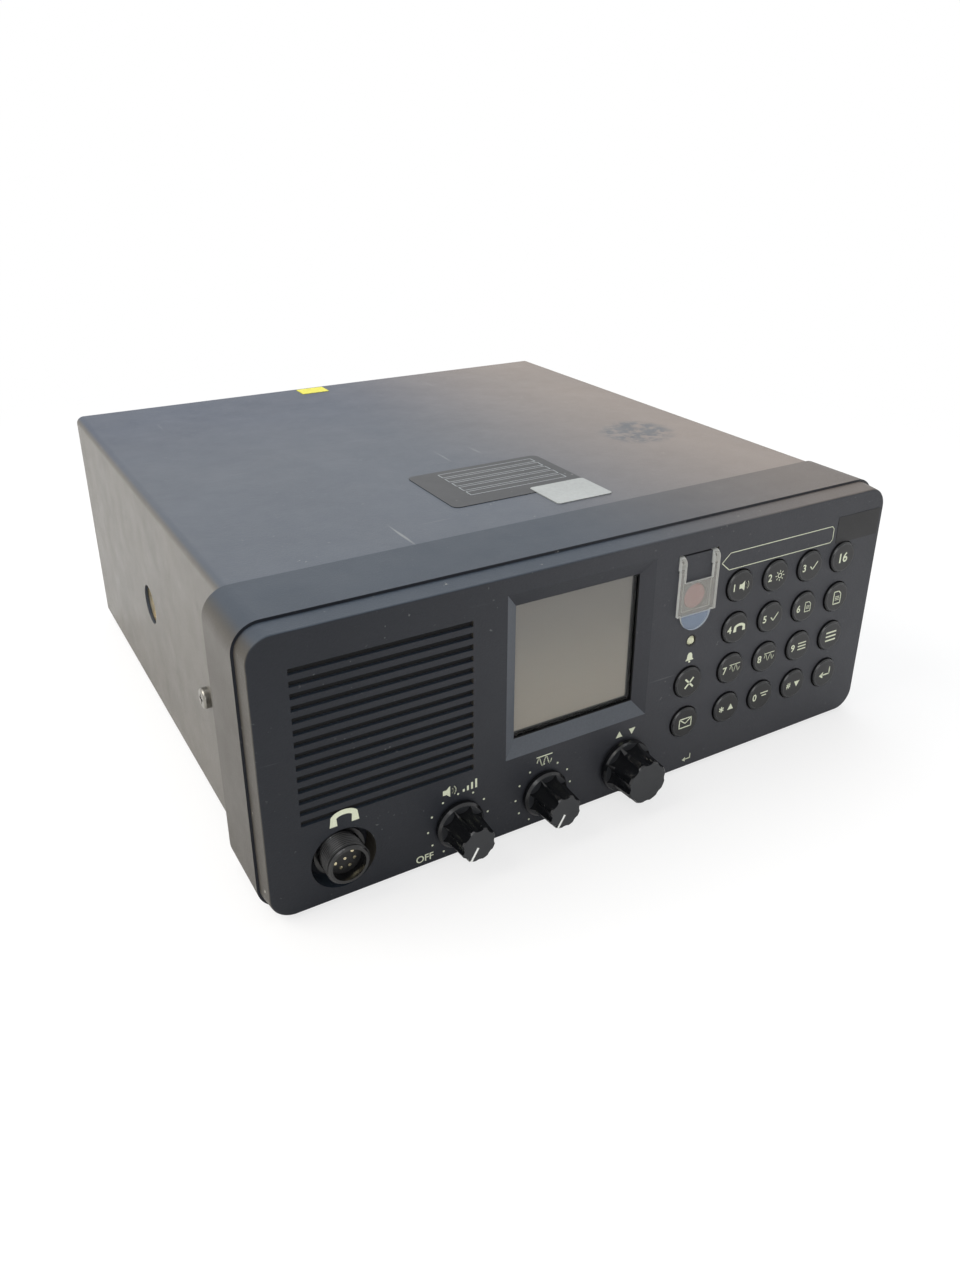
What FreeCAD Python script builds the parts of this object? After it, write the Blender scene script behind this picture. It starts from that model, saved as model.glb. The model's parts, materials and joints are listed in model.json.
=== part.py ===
import FreeCAD
import Part
import Sketcher
import math
import os
import re

# Marine VHF radio, fixed mount, in millimetres.
# X runs to the right as seen from the front, Y from the front to the rear, Z up.
# The origin is under the middle of the whole radio, on the surface it stands on.

os.makedirs("parts", exist_ok=True)
doc = FreeCAD.newDocument("marine_radio")
sheet = doc.addObject("Spreadsheet::Sheet", "sizes")

SIZES = [
    # Front panel
    ("panel_width", 280.0, "outer wall of the front panel"),
    ("panel_height", 109.5, "outer wall of the front panel"),
    ("panel_corner", 10.0, "corner radius of the outer wall"),
    ("drawn_width", 280.0, "panel width that the places across are given for"),
    ("drawn_height", 109.5, "panel height that the levels are given for"),
    ("drawn_reach", 270.0, "body length that the places along it are given for"),
    ("panel_reach", 37.5, "raised face to the rear rim of the panel"),
    ("face_rise", 8.5, "raised face ahead of the ledge"),
    ("ledge_width", 1.0, "ledge round the raised face"),
    ("face_draft", 0.7, "slope of the raised face's sides"),
    ("face_round", 0.8, "worn edge of the raised face"),
    ("panel_wall", 3.4, "upper and lower walls of the panel"),
    ("panel_side", 7.0, "left and right walls, which close on the cover's edges"),
    ("hollow_corner", 1.0, "corners inside the panel"),
    ("plate_wall", 3.0, "thickness of the panel behind its face"),
    # Body
    ("body_width", 267.5, "folded cover, outside"),
    ("body_reach", 270.0, "raised face to the rear edge of the cover"),
    ("body_floor", 3.7, "underside of the chassis above the table"),
    ("body_top", 109.0, "top of the cover"),
    ("cover_wall", 1.2, "sheet of the cover"),
    ("cover_bend", 3.5, "outer bend of the cover"),
    ("tray_wall", 1.5, "sheet of the chassis"),
    ("tray_side", 74.0, "height of the chassis side walls"),
    ("bulkhead_reach", 30.0, "raised face to the front of the bulkhead"),
    ("fit_gap", 0.3, "gap between pieces that slide together"),
    ("join_gap", 0.3, "gap between the panel's rim and the cover"),
    # Display
    ("display_x", -15.55, "middle of the display"),
    ("display_z", 68.0, "middle of the display"),
    ("recess_width", 63.9, "outer edge of the bevel"),
    ("recess_height", 66.2, "outer edge of the bevel"),
    ("window_width", 53.7, "clear opening inside the bevel"),
    ("window_height", 53.9, "clear opening inside the bevel"),
    ("window_lap", 3.0, "window overlap behind the opening"),
    ("window_thick", 1.5, "clear window"),
    ("gasket_thick", 0.8, "rubber gasket in front of the window"),
    ("glass_thick", 2.4, "display glass"),
    ("frame_wall", 2.0, "frame round the display glass"),
    # Louvres
    ("louvre_x", -93.25, "middle of the louvres"),
    ("louvre_high", 94.1, "middle of the highest slot"),
    ("louvre_length", 64.7, "slot length"),
    ("louvre_pitch", 4.37, "slot to slot"),
    ("louvre_gap", 2.2, "slot height"),
    ("louvre_skin", 1.4, "thickness of the ribs"),
    ("louvre_margin", 3.0, "thin area round the slots"),
    # Keys
    ("pad_x", 59.25, "left column of the number pad"),
    ("pad_low", 25.0, "lowest row of keys"),
    ("column_pitch", 19.13, "key to key across"),
    ("row_pitch", 18.5, "key to key up"),
    ("side_x", 36.8, "column with the lamp and the two left keys"),
    ("key_radius", 6.7, "round key"),
    ("key_gap", 0.4, "key to the edge of its hole"),
    ("key_proud", 1.3, "key front ahead of the face"),
    ("key_bevel", 0.5, "sloped rim of the key"),
    ("key_flange", 1.2, "flange wider than the hole"),
    ("flange_thick", 1.0, "flange behind the panel"),
    ("flange_gap", 0.2, "flange to the back of the panel"),
    ("key_travel", 1.0, "how far a key goes in"),
    ("stem_radius", 2.5, "stem behind a key"),
    ("stem_length", 2.2, "stem behind the flange"),
    ("lamp_z", 61.9, "alarm lamp"),
    ("lamp_radius", 1.9, "alarm lamp"),
    # Distress button and its cover
    ("button_z", 81.0, "distress button"),
    ("button_radius", 5.2, "distress button"),
    ("button_sunk", 0.5, "button front behind the face"),
    ("button_travel", 1.5, "how far the button goes in"),
    ("hinge_z", 96.0, "hinge line of the clear cover"),
    ("hinge_depth", 1.2, "hinge line behind the face"),
    ("knuckle_radius", 2.8, "knuckles of the clear cover"),
    ("lid_width", 18.8, "clear cover"),
    ("lid_arm", 2.5, "width of each arm and rim"),
    ("lid_high", 88.2, "upper edge of the clear plate"),
    ("lid_low", 74.4, "lower edge of the clear plate"),
    ("lid_thick", 1.2, "clear plate"),
    ("lid_stand", 0.3, "rim of the cover above the face"),
    ("tab_drop", 7.3, "half-round lift tab below the plate"),
    ("pin_radius", 0.75, "hinge pin"),
    ("running_gap", 0.05, "shafts and pins in their bores"),
    ("pocket_gap", 0.8, "pocket round a knuckle"),
    # Knobs and shafts
    ("dial_z", 15.6, "row of knobs"),
    ("volume_x", -67.3, "volume knob"),
    ("squelch_x", -30.7, "squelch knob"),
    ("channel_x", 6.6, "channel knob"),
    ("skirt_radius", 9.4, "skirt of the small knobs"),
    ("grip_radius", 6.9, "grip of the small knobs"),
    ("knob_front", 15.2, "small knobs ahead of the face"),
    ("knob_gap", 0.6, "small knobs off the face"),
    ("big_skirt", 11.1, "skirt of the channel knob"),
    ("big_grip", 9.0, "grip of the channel knob"),
    ("big_front", 16.1, "channel knob ahead of the face"),
    ("big_gap", 1.3, "channel knob off the face"),
    ("skirt_thick", 1.6, "skirt of a knob"),
    ("skirt_slope", 0.9, "slope from the skirt to the grip"),
    ("flare", 1.7, "how far the ridges spread towards the skirt"),
    ("flute_count", 8, "flutes round a knob"),
    ("flute_radius", 3.5, "small knob flute"),
    ("big_flute", 4.5, "channel knob flute"),
    ("flute_depth", 0.95, "how deep a flute cuts"),
    ("shaft_radius", 3.0, "control shafts"),
    ("shaft_seat", 10.0, "shaft inside the knob"),
    ("bush_radius", 3.5, "threaded bush of a control"),
    ("bush_gap", 0.4, "bush in the panel"),
    ("control_front", 5.0, "front of a control behind the face"),
    ("pot_radius", 8.0, "potentiometer"),
    ("encoder_side", 14.0, "channel encoder"),
    ("push_travel", 0.8, "how far the channel knob pushes in"),
    ("plunger_radius", 4.2, "plunger in the encoder"),
    ("plunger_thick", 1.0, "plunger in the encoder"),
    # Handset socket
    ("socket_x", -111.5, "handset socket"),
    ("socket_z", 18.1, "handset socket"),
    ("well_radius", 11.9, "well round the socket"),
    ("well_depth", 8.0, "well round the socket"),
    ("well_wall", 2.0, "wall of the well"),
    ("collar_radius", 9.3, "socket collar on the floor of the well"),
    ("collar_thick", 4.0, "socket collar"),
    ("socket_radius", 7.6, "socket barrel"),
    ("socket_bore", 6.1, "hollow of the socket"),
    ("socket_front", 4.6, "socket barrel ahead of the face"),
    ("insert_sunk", 4.1, "insert behind the socket's mouth"),
    ("thread_radius", 6.6, "socket thread through the well floor"),
    ("thread_end", 17.0, "rear end of the socket thread"),
    ("nut_flats", 17.0, "socket nut"),
    ("nut_thick", 2.8, "socket nut"),
    ("contact_radius", 0.75, "socket contacts"),
    ("contact_ring", 3.6, "circle of contacts"),
    ("contact_count", 7, "contacts on the circle"),
    ("contact_sunk", 2.2, "depth of the contact holes"),
    # Loudspeaker
    ("cloth_thick", 0.5, "dust cloth behind the louvres"),
    ("speaker_radius", 32.0, "loudspeaker rim"),
    ("speaker_z", 66.0, "middle of the loudspeaker"),
    ("rim_thick", 2.2, "loudspeaker rim"),
    ("cone_radius", 28.0, "cone and its surround"),
    ("coil_radius", 9.0, "narrow end of the cone"),
    ("basket_radius", 17.0, "rear of the basket"),
    ("basket_depth", 12.0, "basket behind the rim"),
    ("basket_wall", 1.2, "basket"),
    ("magnet_radius", 15.0, "magnet"),
    ("magnet_thick", 8.0, "magnet"),
    # Boards and inner parts
    ("board_front", 12.0, "front board behind the face"),
    ("board_thick", 1.6, "circuit boards"),
    ("board_left", -78.0, "front board, left end"),
    ("board_right", 121.4, "front board, right end"),
    ("board_low", 5.2, "front board, lower edge"),
    ("board_high", 101.0, "front board, upper edge"),
    ("board_step_x", -56.5, "front board beside the loudspeaker"),
    ("board_step_z", 27.0, "front board below the loudspeaker"),
    ("switch_side", 6.0, "switch behind a key"),
    ("switch_gap", 1.3, "switch to the key's stem"),
    ("post_radius", 3.0, "posts for the front board"),
    ("post_left", -52.5, "posts for the front board, left pair"),
    ("post_right", 22.0, "post for the front board, right of the display"),
    ("post_low_x", 47.5, "post for the front board, below the keys"),
    ("post_high", 96.5, "posts for the front board, upper row"),
    ("post_step", 42.0, "posts for the front board, beside the loudspeaker"),
    ("post_low", 10.0, "posts for the front board, lower row"),
    ("corner_post", 4.2, "posts for the bulkhead"),
    ("corner_x", 126.0, "posts for the bulkhead"),
    ("corner_low", 9.6, "lower posts for the bulkhead"),
    ("corner_high", 99.8, "upper posts for the bulkhead"),
    ("screw_radius", 1.5, "small screws"),
    ("head_radius", 2.8, "small screw heads"),
    ("head_thick", 2.0, "small screw heads"),
    ("screw_length", 6.0, "small screws under the head"),
    ("main_board_width", 226.0, "main board"),
    ("main_board_length", 196.0, "main board"),
    ("main_board_reach", 52.0, "raised face to the main board"),
    ("standoff_height", 8.0, "posts under the main board"),
    ("standoff_radius", 3.0, "posts under the main board"),
    ("can_width", 96.0, "shield can"),
    ("can_length", 74.0, "shield can"),
    ("can_height", 22.0, "shield can"),
    ("can_wall", 0.8, "shield can"),
    ("can_x", -52.0, "shield can"),
    ("can_reach", 168.0, "shield can"),
    ("module_width", 62.0, "power amplifier module"),
    ("module_height", 20.0, "power amplifier module"),
    ("module_thick", 10.0, "power amplifier module"),
    ("module_x", -54.0, "power amplifier module, seen from behind"),
    ("module_z", 40.0, "power amplifier module"),
    # Sides
    ("bracket_reach", 151.5, "raised face to the bracket holes"),
    ("bracket_z", 55.3, "bracket holes"),
    ("bracket_hole", 8.6, "hole in the cover for a knob bolt"),
    ("bush_bore", 5.0, "thread for a knob bolt"),
    ("bush_flange", 12.0, "flange of the threaded bush"),
    ("bush_flange_thick", 3.0, "flange of the threaded bush"),
    ("bush_body", 8.0, "body of the threaded bush"),
    ("bush_length", 12.0, "threaded bush"),
    ("side_screw_reach", 69.1, "raised face to the side screws"),
    ("side_screw_z", 52.0, "side screws"),
    ("side_head", 4.0, "side screw head"),
    ("side_head_thick", 2.6, "side screw head"),
    ("recess_length", 4.2, "cross recess of the side screws"),
    ("recess_width_cut", 0.9, "cross recess of the side screws"),
    ("recess_depth", 1.3, "cross recess of the side screws"),
    ("side_shank", 2.0, "side screw shank"),
    ("side_shank_length", 7.0, "side screw shank"),
    ("foot_radius", 7.0, "rubber feet"),
    ("foot_x", 112.0, "rubber feet"),
    ("foot_front", 62.0, "raised face to the front feet"),
    ("foot_rear", 246.0, "raised face to the rear feet"),
    # Rear
    ("sink_reach", 264.0, "raised face to the heat sink"),
    ("sink_plate", 3.6, "heat sink plate"),
    ("sink_margin", 2.0, "heat sink below the cover's top"),
    ("fin_count", 14, "fins"),
    ("fin_pitch", 8.0, "fin to fin"),
    ("fin_thick", 2.2, "fin"),
    ("fin_height", 84.0, "fin"),
    ("fin_depth", 11.0, "fin"),
    ("fin_x", -106.0, "first fin, seen from behind"),
    ("fin_z", 58.0, "middle of the fins"),
    ("tail_tab", 12.0, "tabs that carry the heat sink"),
    ("tail_x", 124.0, "heat sink screws"),
    ("tail_low", 16.0, "heat sink screws"),
    ("tail_high", 62.0, "heat sink screws"),
    ("aerial_x", 84.0, "antenna socket, seen from behind"),
    ("aerial_z", 82.0, "antenna socket"),
    ("aerial_side", 25.4, "square flange of the antenna socket"),
    ("aerial_flange", 2.4, "square flange of the antenna socket"),
    ("aerial_radius", 7.94, "threaded barrel of the antenna socket"),
    ("aerial_bore", 6.4, "hollow of the antenna socket"),
    ("aerial_reach", 15.0, "barrel behind the heat sink plate"),
    ("aerial_core", 4.4, "insulator of the antenna socket"),
    ("aerial_pin", 2.0, "centre contact"),
    ("aerial_tail", 6.0, "solder end inside"),
    ("aerial_mouth", 5.0, "insulator behind the end of the barrel"),
    ("inlet_x", 92.0, "power inlet, seen from behind"),
    ("inlet_z", 26.0, "power inlet"),
    ("inlet_width", 26.0, "power inlet"),
    ("inlet_height", 15.0, "power inlet"),
    ("inlet_reach", 10.0, "power inlet behind the plate"),
    ("inlet_wall", 1.6, "power inlet"),
    ("inlet_pin", 1.8, "power pins"),
    ("inlet_pin_x", 5.5, "power pins off the middle"),
    ("data_x", 44.0, "data connector, seen from behind"),
    ("data_z", 26.0, "data connector"),
    ("data_width", 31.0, "data connector flange"),
    ("data_height", 12.6, "data connector flange"),
    ("data_shell", 17.6, "data connector shell"),
    ("data_shell_high", 8.6, "data connector shell"),
    ("data_reach", 6.0, "data connector shell"),
    ("earth_x", 66.5, "earth stud, seen from behind"),
    ("earth_z", 50.0, "earth stud"),
    ("earth_radius", 2.5, "earth stud"),
    ("earth_reach", 11.0, "earth stud behind the plate"),
    ("earth_nut", 8.0, "earth nut across flats"),
]

for row, (name, value, note) in enumerate(SIZES, start=1):
    sheet.set(f"A{row}", name)
    sheet.set(f"B{row}", str(value))
    sheet.set(f"C{row}", note)
    sheet.setAlias(f"B{row}", name)
doc.recompute()

NAMES = {name for name, value, note in SIZES}

# Places and spans that keep their share of the radio when its width, height or length changes
ACROSS = set("""body_width display_x recess_width window_width louvre_x louvre_length pad_x column_pitch side_x
    volume_x squelch_x channel_x socket_x board_left board_right board_step_x corner_x main_board_width can_width
    can_x module_width module_x foot_x fin_pitch fin_x tail_x aerial_x inlet_x data_x earth_x post_left post_right
    post_low_x""".split())
UPWARD = set("""body_top display_z recess_height window_height louvre_high louvre_pitch louvre_gap pad_low row_pitch
    lamp_z button_z hinge_z lid_high lid_low tab_drop dial_z socket_z speaker_radius speaker_z cone_radius
    board_low board_high board_step_z corner_low corner_high tray_side bracket_z side_screw_z fin_height fin_z
    tail_low tail_high aerial_z inlet_z data_z earth_z module_z post_high post_step post_low""".split())
ALONG = set("""sink_reach main_board_reach main_board_length can_length can_reach bracket_reach side_screw_reach
    foot_front foot_rear""".split())
SHARES = {**{name: ("panel_width", "drawn_width") for name in ACROSS},
          **{name: ("panel_height", "drawn_height") for name in UPWARD},
          **{name: ("body_reach", "drawn_reach") for name in ALONG}}
WORD = re.compile(r"[a-z_]+")

# Places worked out from the sizes above
REAR_END = "(sink_reach + sink_plate + aerial_reach)"
FACE_Y = f"(big_front - ({REAR_END} + big_front) / 2)"
INNER_WIDTH = "(body_width - 2 * cover_wall - 2 * fit_gap)"
PLATE_REAR = "(sink_reach + sink_plate)"
TRAY_TOP = "(body_floor + tray_wall)"
MAIN_BOARD_Z = f"({TRAY_TOP} + standoff_height)"
KEY_HOLE = "(key_radius + key_gap)"
SCREW_HOLE = "(screw_radius + running_gap)"
BUTTON_HOLE = "(button_radius + key_gap)"
BUSH_HOLE = "(bush_radius + bush_gap)"
WINDOW_FRONT = "(plate_wall + gasket_thick)"
WINDOW_REAR = f"({WINDOW_FRONT} + window_thick)"
GLASS_FRONT = f"({WINDOW_REAR} + fit_gap)"
CLOTH_REAR = "(plate_wall + cloth_thick)"
SPEAKER_FRONT = f"({CLOTH_REAR} + 0)"
BASKET_REAR = f"({SPEAKER_FRONT} + rim_thick + basket_depth)"
STEM_END = "(plate_wall + flange_gap + flange_thick + stem_length)"
LID_FRONT = "(lid_stand + lid_thick)"

# Frames that a body can be set in: local Z points away from the radio
TURN_UP = FreeCAD.Rotation(FreeCAD.Vector(1, 0, 0), 90)
FRAMES = {
    "up": FreeCAD.Rotation(),
    "front": TURN_UP,
    "rear": FreeCAD.Rotation(FreeCAD.Vector(0, 0, 1), 180) * TURN_UP,
    "right": FreeCAD.Rotation(FreeCAD.Vector(0, 0, 1), 90) * TURN_UP,
    "left": FreeCAD.Rotation(FreeCAD.Vector(0, 0, 1), -90) * TURN_UP,
}
bodies = []


def cell(match):
    """A size name as its cell, times its share where it follows one of the outer sizes."""
    name = match.group()
    if name not in NAMES:
        return name
    if name not in SHARES:
        return "sizes." + name
    now, drawn = SHARES[name]
    return f"(sizes.{name} * sizes.{now} / sizes.{drawn})"


def linked(formula):
    """Point every size name in a formula at its cell."""
    return WORD.sub(cell, formula)


def bind(item, prop, formula):
    item.setExpression(prop, linked(formula))


def new_body(label, frame="front", x="0", y="0", z="0"):
    """A named sub-part whose own origin lies x, y, z from the point under the raised face."""
    body = doc.addObject("PartDesign::Body", label)
    body.Label = label
    body.Placement = FreeCAD.Placement(FreeCAD.Vector(), FRAMES[frame])
    bind(body, "Placement.Base.x", x)
    bind(body, "Placement.Base.y", f"{FACE_Y} + {y}")
    bind(body, "Placement.Base.z", z)
    bodies.append(body)
    return body


def sketch_on(body, plane="XY_Plane", x="0", y="0", z="0"):
    """A sketch on one of the body's own planes, moved to x, y and lifted by z."""
    sketch = body.newObject("Sketcher::SketchObject", "Outline")
    base = next(item for item in body.Origin.OriginFeatures if item.Role == plane)
    sketch.AttachmentSupport = [(base, "")]
    sketch.MapMode = "FlatFace"
    for axis, formula in zip("xyz", (x, y, z)):
        bind(sketch, f"AttachmentOffset.Base.{axis}", formula)
    return sketch


def held(sketch, kind, formula, *where):
    """A driving dimension of a sketch, bound to a formula."""
    number = sketch.addConstraint(Sketcher.Constraint(kind, *where, 1.0))
    bind(sketch, f"Constraints[{number}]", formula)


def at_point(sketch, item, end, x, y):
    """Hold a point of a sketch at x, y from the sketch's origin."""
    for kind, formula, axis in (("DistanceX", x, -2), ("DistanceY", y, -1)):
        if formula == "0":
            sketch.addConstraint(Sketcher.Constraint("PointOnObject", item, end, axis))
        else:
            held(sketch, kind, formula, -1, 1, item, end)


def polygon(sketch, points):
    """A closed outline through points given as formulas."""
    count = len(points)
    turns = [2 * math.pi * step / count for step in range(count)]
    ring = [FreeCAD.Vector(10 * math.cos(turn), 10 * math.sin(turn), 0) for turn in turns]
    first = sketch.GeometryCount
    for step in range(count):
        sketch.addGeometry(Part.LineSegment(ring[step], ring[(step + 1) % count]))
    for step in range(count):
        after = first + (step + 1) % count
        sketch.addConstraint(Sketcher.Constraint("Coincident", first + step, 2, after, 1))
    for step, (x, y) in enumerate(points):
        at_point(sketch, first + step, 1, x, y)
    return sketch


def rectangle(sketch, width, height, x="0", y="0"):
    left, right = f"{x} - ({width}) / 2", f"{x} + ({width}) / 2"
    low, high = f"{y} - ({height}) / 2", f"{y} + ({height}) / 2"
    return polygon(sketch, [(left, low), (right, low), (right, high), (left, high)])


def rounded(sketch, width, height, radius):
    """A rectangle about the sketch's origin with round corners."""
    ends = [(-7, -8, 7, -8), (10, -5, 10, 5), (7, 8, -7, 8), (-10, 5, -10, -5)]
    middles = [(7, -5), (7, 5), (-7, 5), (-7, -5)]
    for x1, y1, x2, y2 in ends:
        sketch.addGeometry(Part.LineSegment(FreeCAD.Vector(x1, y1, 0), FreeCAD.Vector(x2, y2, 0)))
    for step, (x, y) in enumerate(middles):
        turn = (step - 1) * math.pi / 2
        ring = Part.Circle(FreeCAD.Vector(x, y, 0), FreeCAD.Vector(0, 0, 1), 3)
        sketch.addGeometry(Part.ArcOfCircle(ring, turn, turn + math.pi / 2))
    for step in range(4):
        sketch.addConstraint(Sketcher.Constraint("Tangent", step, 2, step + 4, 1))
        sketch.addConstraint(Sketcher.Constraint("Tangent", step + 4, 2, (step + 1) % 4, 1))
        sketch.addConstraint(Sketcher.Constraint("Vertical" if step % 2 else "Horizontal", step))
        if step:
            sketch.addConstraint(Sketcher.Constraint("Equal", 4, step + 4))
    held(sketch, "Radius", radius, 4)
    for step, kind, formula in ((0, "Y", f"-({height}) / 2"), (1, "X", f"({width}) / 2"),
                                (2, "Y", f"({height}) / 2"), (3, "X", f"-({width}) / 2")):
        held(sketch, "Distance" + kind, formula, -1, 1, step, 1)
    return sketch


def circles(sketch, radius, places=(("0", "0"),)):
    for x, y in places:
        item = sketch.addGeometry(Part.Circle(FreeCAD.Vector(1, 1, 0), FreeCAD.Vector(0, 0, 1), 1))
        at_point(sketch, item, 3, x, y)
        held(sketch, "Radius", radius, item)
    return sketch


def half_disc(sketch, radius):
    """The lower half of a disc about the sketch's origin."""
    ring = Part.Circle(FreeCAD.Vector(0, 0, 0), FreeCAD.Vector(0, 0, 1), 5)
    sketch.addGeometry(Part.ArcOfCircle(ring, math.pi, 2 * math.pi))
    sketch.addGeometry(Part.LineSegment(FreeCAD.Vector(5, 0, 0), FreeCAD.Vector(-5, 0, 0)))
    sketch.addConstraint(Sketcher.Constraint("Coincident", 0, 2, 1, 1))
    sketch.addConstraint(Sketcher.Constraint("Coincident", 1, 2, 0, 1))
    sketch.addConstraint(Sketcher.Constraint("Coincident", 0, 3, -1, 1))
    sketch.addConstraint(Sketcher.Constraint("Horizontal", 1))
    sketch.addConstraint(Sketcher.Constraint("PointOnObject", 0, 1, -1))
    held(sketch, "Radius", radius, 0)
    return sketch


def pad(body, sketch, length, taper=None, middle=False):
    """Raise a sketch along its normal."""
    feature = body.newObject("PartDesign::Pad", "Pad")
    feature.Profile = sketch
    feature.Midplane = middle
    bind(feature, "Length", length)
    if taper:
        bind(feature, "TaperAngle", taper)
    return feature


def pocket(body, sketch, length, taper=None, middle=False):
    """Cut a sketch into the body, against its normal."""
    feature = body.newObject("PartDesign::Pocket", "Pocket")
    feature.Profile = sketch
    feature.Midplane = middle
    bind(feature, "Length", length)
    if taper:
        bind(feature, "TaperAngle", taper)
    return feature


def block(body, width, height, x, y, start, length, taper=None):
    sketch = rectangle(sketch_on(body, x=x, y=y, z=start), width, height)
    return pad(body, sketch, length, taper)


def cut_block(body, width, height, x, y, start, length):
    sketch = rectangle(sketch_on(body, x=x, y=y, z=start), width, height)
    return pocket(body, sketch, length)


def discs(body, radius, start, length, places=(("0", "0"),), taper=None):
    return pad(body, circles(sketch_on(body, z=start), radius, places), length, taper)


def cut_discs(body, radius, start, length, places=(("0", "0"),), taper=None):
    return pocket(body, circles(sketch_on(body, z=start), radius, places), length, taper)


def turned(body, points):
    """Turn an outline of (radius, height) points about the body's own Z axis."""
    sketch = polygon(sketch_on(body, plane="XZ_Plane"), points)
    feature = body.newObject("PartDesign::Revolution", "Turning")
    feature.Profile = sketch
    feature.ReferenceAxis = (sketch, ["V_Axis"])
    feature.Angle = 360
    return feature


def hexagon(sketch, flats, x="0", y="0"):
    """A hexagon given across its flats, two flats upright."""
    half, side = f"({flats}) / 2", f"({flats}) / 2 / sqrt(3)"
    return polygon(sketch, [
        (f"{x} + {half}", f"{y} - {side}"), (f"{x} + {half}", f"{y} + {side}"),
        (f"{x} + 0", f"{y} + 2 * {side}"), (f"{x} - {half}", f"{y} + {side}"),
        (f"{x} - {half}", f"{y} - {side}"), (f"{x} + 0", f"{y} - 2 * {side}"),
    ])


def eased(body, feature, wanted, radius, kind="Fillet"):
    """Round or bevel the edges of the last feature that wanted() picks."""
    doc.recompute()
    names = []
    for number, edge in enumerate(feature.Shape.Edges, start=1):
        if wanted(edge.BoundBox):
            names.append(f"Edge{number}")
    item = body.newObject("PartDesign::" + kind, kind)
    item.Base = (feature, names)
    bind(item, "Radius" if kind == "Fillet" else "Size", radius)
    return item


def row_pattern(body, feature, sketch, axis, length, count, backwards=False):
    item = body.newObject("PartDesign::LinearPattern", "Row")
    item.Originals = [feature]
    item.Direction = (sketch, [axis])
    item.Reversed = backwards
    bind(item, "Length", length)
    bind(item, "Occurrences", count)
    body.Tip = item
    return item


def ring_pattern(body, feature, sketch, count):
    item = body.newObject("PartDesign::PolarPattern", "Ring")
    item.Originals = [feature]
    item.Axis = (sketch, ["N_Axis"])
    item.Angle = 360
    bind(item, "Occurrences", count)
    body.Tip = item
    return item


def size_of(name):
    """The value of a size in the document as it stands."""
    now, drawn = SHARES.get(name, ("drawn_width", "drawn_width"))
    return sheet.get(name) * sheet.get(now) / sheet.get(drawn)


def upright(box):
    """An edge that runs mostly along the body's own Z axis."""
    return box.ZLength > 2 and box.ZLength > box.XLength + box.YLength


# Where keys, posts and screws stand

def pad_place(column, row):
    """Centre of a key of the four-by-four pad, row 0 being the lowest."""
    x = f"pad_x + {column} * column_pitch" if column else "pad_x + 0"
    z = f"pad_low + {row} * row_pitch" if row else "pad_low + 0"
    return x, z


def side_place(row):
    return "side_x + 0", f"pad_low + {row} * row_pitch"


KEYS = {}
for number in range(1, 10):
    KEYS[f"key_{number}"] = pad_place((number - 1) % 3, 3 - (number - 1) // 3)
KEYS["key_star"] = pad_place(0, 0)
KEYS["key_0"] = pad_place(1, 0)
KEYS["key_hash"] = pad_place(2, 0)
for row, label in enumerate(("enter_key", "menu_key", "file_key", "home_key")):
    KEYS[label] = pad_place(3, row)
KEYS["call_key"] = side_place(0)
KEYS["cancel_key"] = side_place(1)

BOARD_POSTS = [
    ("post_left", "post_high"), ("post_left", "post_step"), ("post_right", "post_high"),
    ("pad_x + 2.5 * column_pitch", "post_high"), ("pad_x + 2.5 * column_pitch", "post_low"),
    ("post_low_x", "post_low"),
]
CORNERS = [(f"{side} * corner_x", f"{height} + 0") for side in (-1, 1) for height in ("corner_low", "corner_high")]
DIALS = [("volume_x + 0", "dial_z + 0"), ("squelch_x + 0", "dial_z + 0"), ("channel_x + 0", "dial_z + 0")]


# Front panel: a cast shell with a raised face

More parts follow.
